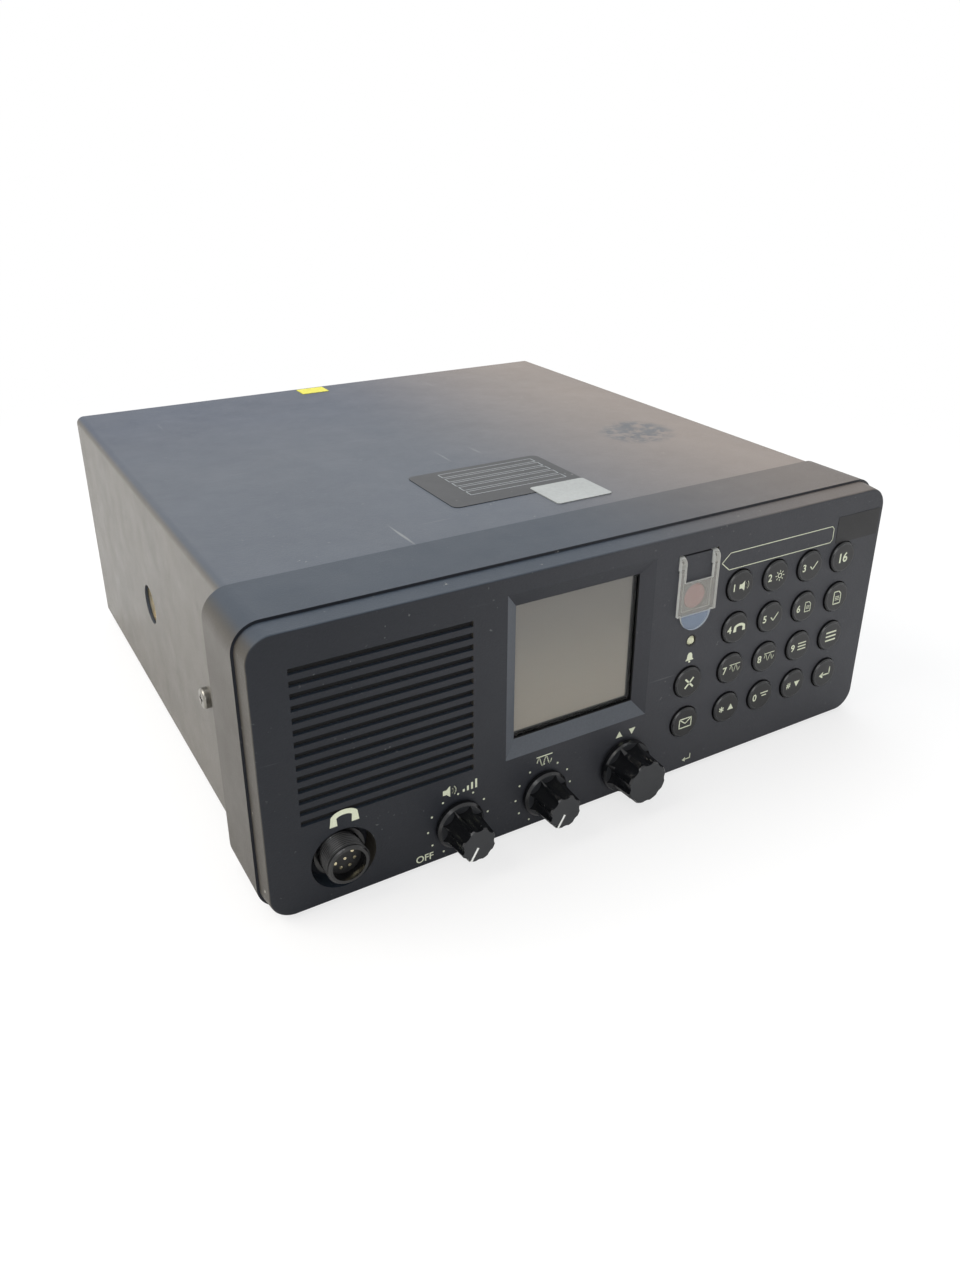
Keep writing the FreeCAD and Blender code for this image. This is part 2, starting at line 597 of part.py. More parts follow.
def front_panel():
    body = new_body("front_panel")
    rise = block(body, "panel_width - 2 * ledge_width", "panel_height - 2 * ledge_width",
                 "0", "panel_height / 2", "-face_rise", "face_rise", "-atan(face_draft / face_rise)")
    corners = eased(body, rise, upright, "panel_corner - ledge_width")
    eased(body, corners, lambda box: abs(box.ZMin) < 0.01, "face_round")
    wall = block(body, "panel_width", "panel_height", "0", "panel_height / 2",
                 "-panel_reach", "panel_reach - face_rise")
    half = size_of("panel_width") / 2
    eased(body, wall, lambda box: upright(box) and abs(abs(box.Center.x) - half) < 0.1, "panel_corner")
    hollow = sketch_on(body, y="panel_height / 2", z="-plate_wall")
    rounded(hollow, "panel_width - 2 * panel_side", "panel_height - 2 * panel_wall", "hollow_corner")
    pocket(body, hollow, "panel_reach - plate_wall")
    # Bevelled display recess and the opening behind it
    outer = rectangle(sketch_on(body, x="display_x", y="display_z"), "recess_width", "recess_height")
    narrow = rectangle(sketch_on(body, x="display_x", y="display_z", z="-plate_wall"),
                       "window_width", "window_height")
    bevel = body.newObject("PartDesign::SubtractiveLoft", "Bevel")
    bevel.Profile = outer
    bevel.Sections = [narrow]
    bevel.Ruled = True
    # Louvres in a thinner skin
    cut_block(body, "louvre_length + 2 * louvre_margin", "14 * louvre_pitch + 2 * louvre_margin",
              "louvre_x", "louvre_high - 6.5 * louvre_pitch", "-louvre_skin", "plate_wall - louvre_skin")
    slot_outline = rectangle(sketch_on(body, x="louvre_x", y="louvre_high"), "louvre_length", "louvre_gap")
    slot = pocket(body, slot_outline, "plate_wall")
    row_pattern(body, slot, slot_outline, "V_Axis", "13 * louvre_pitch", "14", backwards=True)
    # Handset well
    place = [("socket_x + 0", "socket_z + 0")]
    discs(body, "well_radius + well_wall", "-well_depth - well_wall", "well_depth + well_wall - plate_wall", place)
    cut_discs(body, "well_radius", "0", "well_depth", place)
    cut_discs(body, "thread_radius + fit_gap", "-well_depth", "well_wall", place)
    # Holes for the controls, lamp and button
    cut_discs(body, BUSH_HOLE, "0", "plate_wall", DIALS)
    cut_discs(body, "lamp_radius + fit_gap", "0", "plate_wall", [("side_x + 0", "lamp_z + 0")])
    cut_discs(body, BUTTON_HOLE, "0", "plate_wall", [("side_x + 0", "button_z + 0")])
    cut_discs(body, KEY_HOLE, "0", "plate_wall", list(KEYS.values()))
    # Hinge block with a pocket for each knuckle and a bore for the pin
    block(body, "lid_width + 4", "2 * knuckle_radius + 5", "side_x", "hinge_z", "-hinge_depth - knuckle_radius - 3",
          "hinge_depth + knuckle_radius + 3 - plate_wall")
    reach = "(lid_width / 2 - lid_arm / 2)"
    for side in ("-", "+"):
        cut_block(body, "lid_arm + 2 * fit_gap", "2 * knuckle_radius + 2 * pocket_gap", f"side_x {side} {reach}",
                  "hinge_z", "0", "hinge_depth + knuckle_radius + fit_gap")
    cut_block(body, "lid_width - 2 * lid_arm", "pocket_gap", "side_x", "hinge_z + knuckle_radius + pocket_gap / 2",
              "0", "hinge_depth")
    bore = circles(sketch_on(body, "YZ_Plane", "hinge_z", "-hinge_depth", "side_x"), "pin_radius")
    pocket(body, bore, "lid_width - 2 * lid_arm + 1", middle=True)
    # Posts for the front board and for the bulkhead
    discs(body, "post_radius", "-board_front", "board_front - plate_wall", BOARD_POSTS)
    cut_discs(body, SCREW_HOLE, "-board_front + screw_length", "screw_length", BOARD_POSTS)
    discs(body, "corner_post", "-bulkhead_reach", "bulkhead_reach - plate_wall", CORNERS)
    cut_discs(body, SCREW_HOLE, "-bulkhead_reach + screw_length", "screw_length", CORNERS)


# Sheet-metal body

def top_cover():
    body = new_body("top_cover", "up")
    start = "(panel_reach + join_gap)"
    length = f"(body_reach - {start})"
    outside = block(body, "body_width", length, "0", f"{start} + {length} / 2", "body_floor",
                    "body_top - body_floor")
    half = size_of("body_width") / 2
    high = size_of("body_top")
    bends = eased(body, outside, lambda box: box.YLength > 100 and box.ZMin > high - 0.1
                  and abs(abs(box.Center.x) - half) < 0.1, "cover_bend")
    doc.recompute()
    inside = cut_block(body, "body_width - 2 * cover_wall", length, "0", f"{start} + {length} / 2",
                       "body_top - cover_wall", "body_top - body_floor")
    eased(body, inside, lambda box: box.YLength > 100 and abs(box.ZMin - high + size_of("cover_wall")) < 0.1
          and abs(box.ZLength) < 0.01 and abs(box.Center.x) > half - 2, "cover_bend - cover_wall")
    bolt = circles(sketch_on(body, "YZ_Plane"), "bracket_hole", [("bracket_reach + 0", "bracket_z + 0")])
    pocket(body, bolt, "body_width + 2", middle=True)
    screw = circles(sketch_on(body, "YZ_Plane"), "side_shank + 0.1", [("side_screw_reach + 0", "side_screw_z + 0")])
    pocket(body, screw, "body_width + 2", middle=True)


def chassis():
    body = new_body("chassis", "up")
    length = "(sink_reach - bulkhead_reach)"
    middle = f"bulkhead_reach + {length} / 2"
    block(body, INNER_WIDTH, length, "0", middle, "body_floor", "tray_wall")
    block(body, INNER_WIDTH, "tray_wall", "0", "bulkhead_reach + tray_wall / 2", "body_floor",
          "panel_height - panel_wall - fit_gap - body_floor")
    for side in ("-", "+"):
        block(body, "tray_wall", length, f"{side}({INNER_WIDTH} / 2 - tray_wall / 2)", middle,
              "body_floor", "tray_side")
        block(body, "tail_tab", "tray_wall", f"{side}({INNER_WIDTH} / 2 - tail_tab / 2)",
              "sink_reach - tray_wall / 2", "body_floor", "tray_side")
    posts = [(f"{side} * (main_board_width / 2 - 8)", f"main_board_reach + {spot}")
             for side in (-1, 1) for spot in ("8", "main_board_length / 2", "main_board_length - 8")]
    discs(body, "standoff_radius", TRAY_TOP, "standoff_height", posts)
    cut_discs(body, SCREW_HOLE, MAIN_BOARD_Z, "screw_length - board_thick", posts)
    bolt = circles(sketch_on(body, "YZ_Plane"), "bracket_hole", [("bracket_reach + 0", "bracket_z + 0")])
    pocket(body, bolt, "body_width + 2", middle=True)
    screw = circles(sketch_on(body, "YZ_Plane"), "side_shank + running_gap", [("side_screw_reach + 0", "side_screw_z + 0")])
    pocket(body, screw, "body_width + 2", middle=True)
    # Bulkhead: corner screws, wiring window and the loudspeaker's magnet
    holes = circles(sketch_on(body, "XZ_Plane", z="-bulkhead_reach"), SCREW_HOLE, CORNERS)
    pocket(body, holes, "4 * tray_wall", middle=True)
    window = rectangle(sketch_on(body, "XZ_Plane", "display_x + 45", "display_z - 40", "-bulkhead_reach"), "90", "24")
    pocket(body, window, "4 * tray_wall", middle=True)
    tails = [(f"{side} * tail_x", f"{spot} + 0") for side in (-1, 1) for spot in ("tail_low", "tail_high")]
    tail_holes = circles(sketch_on(body, "XZ_Plane", z="-sink_reach"), SCREW_HOLE, tails)
    pocket(body, tail_holes, "4 * tray_wall", middle=True)


def rubber_feet():
    body = new_body("rubber_feet", "up")
    places = [(f"{side} * foot_x", f"{spot} + 0") for side in (-1, 1) for spot in ("foot_front", "foot_rear")]
    discs(body, "foot_radius", "0", "body_floor", places, "5")


def side_pieces():
    """Threaded bushes and screws, one of each on both sides, as separate solids in one piece each."""
    inner = f"({INNER_WIDTH} / 2 - tray_wall)"
    body = new_body("bracket_bushes", "up")
    for side in ("-", "+"):
        ring = sketch_on(body, "YZ_Plane", "bracket_reach", "bracket_z",
                         f"{side}({inner} - bush_flange_thick / 2)")
        pad(body, circles(ring, "bush_flange"), "bush_flange_thick", middle=True)
        barrel = sketch_on(body, "YZ_Plane", "bracket_reach", "bracket_z", f"{side}({inner} - bush_length / 2)")
        pad(body, circles(barrel, "bush_body"), "bush_length", middle=True)
    bore = circles(sketch_on(body, "YZ_Plane", "bracket_reach", "bracket_z"), "bush_bore")
    pocket(body, bore, "body_width", middle=True)
    screws = new_body("side_screws", "up")
    outer = "(body_width / 2)"
    for side in ("-", "+"):
        head = sketch_on(screws, "YZ_Plane", "side_screw_reach", "side_screw_z",
                         f"{side}({outer} + side_head_thick / 2)")
        pad(screws, circles(head, "side_head"), "side_head_thick", middle=True)
        shank = sketch_on(screws, "YZ_Plane", "side_screw_reach", "side_screw_z",
                          f"{side}({outer} - side_shank_length / 2)")
        pad(screws, circles(shank, "side_shank"), "side_shank_length", middle=True)
    doc.recompute()
    far = size_of("body_width") / 2 + size_of("side_head_thick")
    eased(screws, screws.Tip, lambda box: abs(abs(box.Center.x) - far) < 0.01, "side_head_thick * 0.4")
    for side in ("-", "+"):
        cross = sketch_on(screws, "YZ_Plane", "side_screw_reach", "side_screw_z",
                          f"{side}({outer} + side_head_thick - recess_depth / 2)")
        pocket(screws, rectangle(cross, "recess_length", "recess_width_cut"), "recess_depth", middle=True)
        cross = sketch_on(screws, "YZ_Plane", "side_screw_reach", "side_screw_z",
                          f"{side}({outer} + side_head_thick - recess_depth / 2)")
        pocket(screws, rectangle(cross, "recess_width_cut", "recess_length"), "recess_depth", middle=True)


# Display

def display():
    gasket = new_body("window_gasket", x="display_x", z="display_z")
    block(gasket, "window_width + 2 * window_lap", "window_height + 2 * window_lap", "0", "0",
          f"-{WINDOW_FRONT}", "gasket_thick")
    cut_block(gasket, "window_width", "window_height", "0", "0", "-plate_wall", "gasket_thick")
    window = new_body("display_window", x="display_x", z="display_z")
    block(window, "window_width + 2 * window_lap", "window_height + 2 * window_lap", "0", "0",
          f"-{WINDOW_REAR}", "window_thick")
    frame = new_body("display_frame", x="display_x", z="display_z")
    depth = f"(board_front - {WINDOW_REAR})"
    block(frame, "window_width + 2 * frame_wall", "window_height + 2 * frame_wall", "0", "0",
          "-board_front", depth)
    cut_block(frame, "window_width - 1", "window_height - 1", "0", "0", f"-{WINDOW_REAR}", depth)
    glass = new_body("display_glass", x="display_x", z="display_z")
    block(glass, "window_width - 1 - 2 * fit_gap", "window_height - 1 - 2 * fit_gap", "0", "0",
          f"-{GLASS_FRONT} - glass_thick", "glass_thick")
    block(glass, "window_width - 7", "window_height - 7", "0", "0", "-board_front",
          f"board_front - {GLASS_FRONT} - glass_thick")


# Loudspeaker

def loudspeaker():
    cloth = new_body("speaker_cloth", x="louvre_x", z="louvre_high - 6.5 * louvre_pitch")
    block(cloth, "louvre_length + 2 * louvre_margin - 2 * fit_gap",
          "14 * louvre_pitch + 2 * louvre_margin - 2 * fit_gap", "0", "0",
          f"-{CLOTH_REAR}", "plate_wall + cloth_thick - louvre_skin")
    frame = new_body("speaker_frame", x="louvre_x", z="speaker_z")
    rim_rear = f"-{SPEAKER_FRONT} - rim_thick"
    turned(frame, [
        ("speaker_radius", f"-{SPEAKER_FRONT}"), ("speaker_radius", rim_rear),
        ("cone_radius + basket_wall", rim_rear), ("basket_radius", f"-{BASKET_REAR}"),
        ("coil_radius + 1", f"-{BASKET_REAR}"), ("coil_radius + 1", f"-{BASKET_REAR} + basket_wall"),
        ("basket_radius - basket_wall", f"-{BASKET_REAR} + basket_wall"), ("cone_radius", rim_rear),
        ("cone_radius", f"-{SPEAKER_FRONT}"),
    ])
    cone = new_body("speaker_cone", x="louvre_x", z="speaker_z")
    turned(cone, [
        ("cone_radius - 0.3", f"-{SPEAKER_FRONT} - 0.3"), ("cone_radius - 0.3", f"-{SPEAKER_FRONT} - 1.0"),
        ("coil_radius", f"-{SPEAKER_FRONT} - 10"), ("0", f"-{SPEAKER_FRONT} - 10"),
        ("0", f"-{SPEAKER_FRONT} - 7.5"), ("coil_radius", f"-{SPEAKER_FRONT} - 9.2"),
    ])
    magnet = new_body("speaker_magnet", x="louvre_x", z="speaker_z")
    discs(magnet, "magnet_radius", f"-{BASKET_REAR} - magnet_thick", "magnet_thick")
    discs(magnet, "coil_radius - 1", f"-{BASKET_REAR}", "basket_wall + 1")


# Controls

def knob(label, x, skirt, grip, front, gap, flute):
    """A skirted knob, fluted from the skirt's slope to its flat front."""
    body = new_body(label, x=x, z="dial_z")
    turned(body, [
        ("0", gap), (skirt, gap), (skirt, f"{gap} + skirt_thick"),
        (f"{grip} + flare", f"{gap} + skirt_thick + skirt_slope"),
        (f"{grip} + flare * 0.3", f"{gap} + skirt_thick + skirt_slope * 4"),
        (grip, f"{front} - 0.5"), (f"{grip} - 0.5", front), ("0", front),
    ])
    cut_discs(body, "shaft_radius", f"{gap} + shaft_seat", "shaft_seat")
    outline = circles(sketch_on(body, z=front), flute, [("0", f"{grip} + {flute} - flute_depth")])
    groove = pocket(body, outline, f"{front} - {gap} - skirt_thick - skirt_slope")
    ring_pattern(body, groove, outline, "flute_count")


def controls():
    knob("volume_knob", "volume_x", "skirt_radius", "grip_radius", "knob_front", "knob_gap", "flute_radius")
    knob("squelch_knob", "squelch_x", "skirt_radius", "grip_radius", "knob_front", "knob_gap", "flute_radius")
    knob("channel_knob", "channel_x", "big_skirt", "big_grip", "big_front", "big_gap", "big_flute")
    shaft_end = "(board_front - 3)"
    for name, gap in (("volume", "knob_gap"), ("squelch", "knob_gap"), ("channel", "big_gap")):
        shaft = new_body(f"{name}_shaft", x=f"{name}_x", z="dial_z")
        discs(shaft, "shaft_radius", f"-{shaft_end}", f"{shaft_end} + {gap} + shaft_seat")
    pots = new_body("dial_pots", z="dial_z")
    pair = [("volume_x + 0", "0"), ("squelch_x + 0", "0")]
    discs(pots, "pot_radius", "-board_front", "board_front - control_front", pair)
    discs(pots, "bush_radius", "-control_front", "control_front", pair)
    cut_discs(pots, "shaft_radius + running_gap", "0", f"{shaft_end} + fit_gap", pair)
    encoder = new_body("channel_encoder", x="channel_x", z="dial_z")
    block(encoder, "encoder_side", "encoder_side", "0", "0", "-board_front", "board_front - control_front")
    discs(encoder, "bush_radius", "-control_front", "control_front")
    cut_discs(encoder, "shaft_radius + running_gap", "0", "board_front - 1")
    cut_discs(encoder, "plunger_radius + fit_gap", f"-{shaft_end} + fit_gap",
              "plunger_thick + push_travel + 2 * fit_gap")
    plunger = new_body("channel_plunger", x="channel_x", z="dial_z")
    discs(plunger, "plunger_radius", f"-{shaft_end} - plunger_thick", "plunger_thick")


# Handset socket

def handset_socket():
    shell = new_body("handset_socket", x="socket_x", z="socket_z")
    floor = "-well_depth"
    turned(shell, [
        ("socket_bore", "socket_front"), ("socket_radius - 0.5", "socket_front"),
        ("socket_radius", "socket_front - 0.5"), ("socket_radius", f"{floor} + collar_thick"),
        ("collar_radius", f"{floor} + collar_thick"), ("collar_radius", floor),
        ("thread_radius", floor), ("thread_radius", "-thread_end"), ("socket_bore - 1.2", "-thread_end"),
        ("socket_bore - 1.2", "0"), ("socket_bore", "0"),
    ])
    insert = new_body("handset_insert", x="socket_x", z="socket_z")
    discs(insert, "socket_bore - 1.2 - running_gap", "-thread_end - 1", "thread_end + 1")
    discs(insert, "socket_bore - running_gap", "0", "socket_front - insert_sunk")
    face = "socket_front - insert_sunk"
    outline = circles(sketch_on(insert, z=face), "contact_radius", [("0", "contact_ring")])
    hole = pocket(insert, outline, "contact_sunk")
    ring_pattern(insert, hole, outline, "contact_count")
    thin = circles(sketch_on(insert, z=f"{face} - contact_sunk"), "contact_radius * 0.7", [("0", "contact_ring")])
    pin = pad(insert, thin, "contact_sunk * 0.8")
    ring_pattern(insert, pin, thin, "contact_count")
    nut = new_body("handset_nut", x="socket_x", z="socket_z")
    start = "-well_depth - well_wall - nut_thick"
    pad(nut, hexagon(sketch_on(nut, z=start), "nut_flats"), "nut_thick")
    cut_discs(nut, "thread_radius + running_gap", "-well_depth - well_wall", "nut_thick")


# Keys, distress button and its cover

def plunger_key(label, x, z, radius, front, bevel, stem_end):
    body = new_body(label, x=x, z=z)
    back = "-plate_wall - flange_gap"
    turned(body, [
        ("0", front), (f"{radius} - {bevel}", front), (radius, f"{front} - {bevel}"), (radius, back),
        (f"{radius} + key_flange", back), (f"{radius} + key_flange", f"{back} - flange_thick"),
        ("stem_radius", f"{back} - flange_thick"), ("stem_radius", stem_end), ("0", stem_end),
    ])


def keys():
    for label, (x, z) in KEYS.items():
        plunger_key(label, x, z, "key_radius", "key_proud", "key_bevel", f"-{STEM_END}")
    plunger_key("distress_button", "side_x", "button_z", "button_radius", "-button_sunk", "key_bevel * 0.6",
                f"-{STEM_END} + button_travel - key_travel")


def distress_cover():
    body = new_body("distress_cover", x="side_x", z="hinge_z")
    reach = "(lid_width / 2 - lid_arm / 2)"
    axis = "-hinge_depth"
    for side in ("-", "+"):
        knuckle = sketch_on(body, "YZ_Plane", "0", axis, f"{side}{reach}")
        pad(body, circles(knuckle, "knuckle_radius"), "lid_arm", middle=True)
        arm = sketch_on(body, "YZ_Plane", "0", "0", f"{side}{reach}")
        polygon(arm, [
            ("0", f"{axis} + knuckle_radius"), ("lid_low - hinge_z", f"{axis} + knuckle_radius"),
            ("lid_low - hinge_z", "lid_stand"), ("-knuckle_radius * 0.9", "lid_stand"), ("0", "-hinge_depth * 0.8"),
        ])
        pad(body, arm, "lid_arm", middle=True)
    plate_front = f"(knuckle_radius - hinge_depth)"
    block(body, "lid_width - 2 * lid_arm + 0.2", "lid_high - lid_low", "0", "(lid_high + lid_low) / 2 - hinge_z",
          f"{plate_front} - lid_thick * 0.8", "lid_thick * 0.8")
    block(body, "lid_width", "lid_arm * 0.6", "0", "lid_low - hinge_z + lid_arm * 0.3", "lid_stand",
          f"{plate_front} - lid_stand")
    tab = half_disc(sketch_on(body, y="lid_low - hinge_z + 0.05", z="lid_stand"), "tab_drop")
    pad(body, tab, "lid_thick * 0.7")
    bore = circles(sketch_on(body, "YZ_Plane", "0", axis), "pin_radius + running_gap")
    pocket(body, bore, "lid_width + 2", middle=True)
    pin = new_body("hinge_pin", x="side_x", z="hinge_z")
    pad(pin, circles(sketch_on(pin, "YZ_Plane", "0", axis), "pin_radius"), "lid_width", middle=True)


def alarm_lamp():
    body = new_body("alarm_lamp", x="side_x", z="lamp_z")
    turned(body, [
        ("0", "0.6"), ("lamp_radius * 0.6", "0.4"), ("lamp_radius", "-0.4"), ("lamp_radius", "-board_front"),
        ("0", "-board_front"),
    ])


# Front board with its switches

def front_board():
    body = new_body("front_board")
    rear = "-board_front - board_thick"
    outline = polygon(sketch_on(body, z=rear), [
        ("board_left", "board_low"), ("board_right", "board_low"), ("board_right", "board_high"),
        ("board_step_x", "board_high"), ("board_step_x", "board_step_z"), ("board_left", "board_step_z"),
    ])
    pad(body, outline, "board_thick")
    cut_discs(body, "screw_radius + 0.2", "-board_front", "board_thick", BOARD_POSTS)
    switches = new_body("key_switches")
    places = list(KEYS.values()) + [("side_x + 0", "button_z + 0")]
    start = "-board_front"
    top = f"({STEM_END} + switch_gap)"
    sketch = sketch_on(switches, z=start)
    for x, z in places:
        rectangle(sketch, "switch_side", "switch_side", x, z)
    pad(switches, sketch, f"board_front - {top} - 1")
    discs(switches, "1.7", f"-{top} - 1", "1", places)


# Main board and radio parts

def main_board():
    body = new_body("main_board", "up")
    middle = "main_board_reach + main_board_length / 2"
    block(body, "main_board_width", "main_board_length", "0", middle, MAIN_BOARD_Z, "board_thick")
    posts = [(f"{side} * (main_board_width / 2 - 8)", f"main_board_reach + {spot}")
             for side in (-1, 1) for spot in ("8", "main_board_length / 2", "main_board_length - 8")]
    cut_discs(body, "screw_radius + 0.2", f"{MAIN_BOARD_Z} + board_thick", "board_thick", posts)
    can = new_body("shield_can", "up")
    block(can, "can_width", "can_length", "can_x", "can_reach", f"{MAIN_BOARD_Z} + board_thick", "can_height")
    cut_block(can, "can_width - 2 * can_wall", "can_length - 2 * can_wall", "can_x", "can_reach",
              f"{MAIN_BOARD_Z} + board_thick + can_height - can_wall", "can_height - can_wall")
    module = new_body("power_module", "rear")
    block(module, "module_width", "module_height", "module_x", "module_z", "sink_reach - module_thick",
          "module_thick")


def small_screws():
    """All the identical pan-head screws inside, each a separate solid."""
    body = new_body("small_screws", "up")
    posts = [(f"{side} * (main_board_width / 2 - 8)", f"main_board_reach + {spot}")
             for side in (-1, 1) for spot in ("8", "main_board_length / 2", "main_board_length - 8")]
    top = f"{MAIN_BOARD_Z} + board_thick"
    discs(body, "head_radius", top, "head_thick", posts)
    discs(body, "screw_radius", f"{top} - screw_length", "screw_length", posts)
    rear_face = "board_front + board_thick"
    upright_sets = (
        (BOARD_POSTS, rear_face, "rear"),
        (CORNERS, "bulkhead_reach + tray_wall", "rear"),
        ([(f"{side} * tail_x", f"{spot} + 0") for side in (-1, 1) for spot in ("tail_low", "tail_high")],
         PLATE_REAR, "rear"),
    )
    for places, depth, _ in upright_sets:
        head = circles(sketch_on(body, "XZ_Plane", z=f"-({depth}) - head_thick"), "head_radius", places)
        pad(body, head, "head_thick")
        shank = circles(sketch_on(body, "XZ_Plane", z=f"-({depth})"), "screw_radius", places)
        pad(body, shank, "screw_length - 0.2")


# Rear

def heat_sink():
    body = new_body("heat_sink", "rear")
    low, high = TRAY_TOP, "(body_top - cover_wall - sink_margin)"
    block(body, INNER_WIDTH, f"{high} - {low}", "0", f"({high} + {low}) / 2", "sink_reach", "sink_plate")
    outline = rectangle(sketch_on(body, x="fin_x", y="fin_z", z=PLATE_REAR), "fin_thick", "fin_height")
    fin = pad(body, outline, "fin_depth")
    row_pattern(body, fin, outline, "H_Axis", "(fin_count - 1) * fin_pitch", "fin_count")
    cut_discs(body, "aerial_bore", PLATE_REAR, "sink_plate",
              [("aerial_x + 0", "aerial_z + 0")])
    cut_discs(body, "earth_radius + running_gap", PLATE_REAR, "sink_plate",
              [("earth_x + 0", "earth_z + 0")])
    cut_block(body, "inlet_width - 2 * inlet_wall", "inlet_height - 2 * inlet_wall", "inlet_x", "inlet_z",
              PLATE_REAR, "sink_plate")
    cut_block(body, "data_shell", "data_shell_high", "data_x", "data_z", PLATE_REAR, "sink_plate")
    tails = [(f"{side} * tail_x", f"{spot} + 0") for side in (-1, 1) for spot in ("tail_low", "tail_high")]
    cut_discs(body, SCREW_HOLE, PLATE_REAR, "sink_plate", tails)


def rear_sockets():
    aerial = new_body("antenna_socket", "rear", x="-aerial_x", z="aerial_z")
    start = PLATE_REAR
    block(aerial, "aerial_side", "aerial_side", "0", "0", start, "aerial_flange")
    discs(aerial, "aerial_radius", start, "aerial_reach")
    cut_discs(aerial, "aerial_bore", f"{start} + aerial_reach", "aerial_reach")
    core = new_body("antenna_insert", "rear", x="-aerial_x", z="aerial_z")
    tail = f"{start} - sink_plate - aerial_tail"
    discs(core, "aerial_bore - running_gap", f"{start} - sink_plate", "sink_plate + aerial_flange")
    discs(core, "aerial_core", f"{start} + aerial_flange", "aerial_reach - aerial_flange - aerial_mouth")
    discs(core, "aerial_pin", tail, "aerial_tail")
    cut_discs(core, "aerial_pin", f"{start} + aerial_reach - aerial_mouth", "aerial_reach - aerial_flange - 6")
    inlet = new_body("power_inlet", "rear", x="-inlet_x", z="inlet_z")
    block(inlet, "inlet_width", "inlet_height", "0", "0", start, "inlet_reach")
    block(inlet, "inlet_width - 2 * inlet_wall - fit_gap", "inlet_height - 2 * inlet_wall - fit_gap", "0", "0",
          f"{start} - sink_plate - 3", "sink_plate + 3")
    cut_block(inlet, "inlet_width - 2 * inlet_wall", "inlet_height - 2 * inlet_wall", "0", "0",
              f"{start} + inlet_reach", "inlet_reach - 1.5")
    discs(inlet, "inlet_pin", f"{start} + 1.5", "inlet_reach - 3",
          [("-inlet_pin_x", "0"), ("inlet_pin_x", "0")])
    data = new_body("data_connector", "rear", x="-data_x", z="data_z")
    block(data, "data_width", "data_height", "0", "0", start, "1.2")
    shell = polygon(sketch_on(data, z=start), [
        ("-data_shell / 2 + 1.4", "-data_shell_high / 2"), ("data_shell / 2 - 1.4", "-data_shell_high / 2"),
        ("data_shell / 2", "data_shell_high / 2"), ("-data_shell / 2", "data_shell_high / 2"),
    ])
    pad(data, shell, "data_reach")
    block(data, "data_shell - 3.4", "data_shell_high - fit_gap", "0", "0", f"{start} - sink_plate - 4", "sink_plate + 4")
    cut_block(data, "data_shell - 4.4", "data_shell_high - 2", "0", "0", f"{start} + data_reach", "data_reach - 1.5")
    studs = [("-data_width / 2 + 3", "0"), ("data_width / 2 - 3", "0")]
    discs(data, "2.4", f"{start} + 1.2", "3.4", studs)
    earth = new_body("earth_stud", "rear", x="-earth_x", z="earth_z")
    discs(earth, "earth_radius", f"{start} - sink_plate", "sink_plate + earth_reach")
    discs(earth, "earth_nut * 0.72", start, "1")
    pad(earth, hexagon(sketch_on(earth, z=f"{start} + 1"), "earth_nut"), "4")


def build():
    front_panel()
    top_cover()
    chassis()
    rubber_feet()
    side_pieces()
    display()
    loudspeaker()
    controls()
    handset_socket()
    keys()
    distress_cover()
    alarm_lamp()
    front_board()
    main_board()
    small_screws()
    heat_sink()
    rear_sockets()


def checked():
    """Stop before writing anything if a feature failed, a cut missed, or a piece is empty."""
    faults = []
    for item in doc.Objects:
        if any(word in ("Invalid", "Error") for word in item.State):
            owner = item.getParentGeoFeatureGroup()
            faults.append(f"{owner.Label if owner else ''} {item.Name}: {item.State} {item.getStatusString()}")
    for body in bodies:
        before = 0.0
        for feature in body.Group:
            if not feature.isDerivedFrom("PartDesign::Feature"):
                continue
            if "Invalid" in feature.State or feature.Shape.isNull():
                break
            after = feature.Shape.Volume
            if feature.TypeId.endswith(("Pocket", "Groove", "SubtractiveLoft")) and after > before - 0.01:
                faults.append(f"{body.Label}: {feature.Name} cuts nothing")
            before = after
        if body.Shape.isNull() or not body.Shape.isValid():
            faults.append(f"{body.Label}: no valid solid")
    return faults


build()
doc.recompute()
faults = checked()
if faults:
    raise SystemExit("\n".join(faults))
for body in bodies:
    body.Shape.exportStep(f"parts/{body.Label}.step")
print(len(bodies), "pieces written")
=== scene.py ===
import json
import math

import bpy
import numpy as np
from mathutils import Matrix, Vector


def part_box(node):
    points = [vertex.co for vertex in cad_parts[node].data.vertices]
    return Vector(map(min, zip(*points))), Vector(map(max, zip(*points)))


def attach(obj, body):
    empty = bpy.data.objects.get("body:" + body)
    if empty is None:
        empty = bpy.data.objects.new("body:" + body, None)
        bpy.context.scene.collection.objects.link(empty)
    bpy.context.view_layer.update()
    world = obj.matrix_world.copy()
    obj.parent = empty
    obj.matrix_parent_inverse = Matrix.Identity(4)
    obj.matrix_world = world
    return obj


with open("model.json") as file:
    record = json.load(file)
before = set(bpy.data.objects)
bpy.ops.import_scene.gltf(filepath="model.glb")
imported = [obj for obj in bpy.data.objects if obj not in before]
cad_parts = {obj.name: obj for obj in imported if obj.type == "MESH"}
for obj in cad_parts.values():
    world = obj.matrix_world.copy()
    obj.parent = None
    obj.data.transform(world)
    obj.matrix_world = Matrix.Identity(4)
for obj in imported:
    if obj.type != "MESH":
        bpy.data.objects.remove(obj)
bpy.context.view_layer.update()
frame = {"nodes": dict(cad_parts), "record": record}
nodes = frame["nodes"]

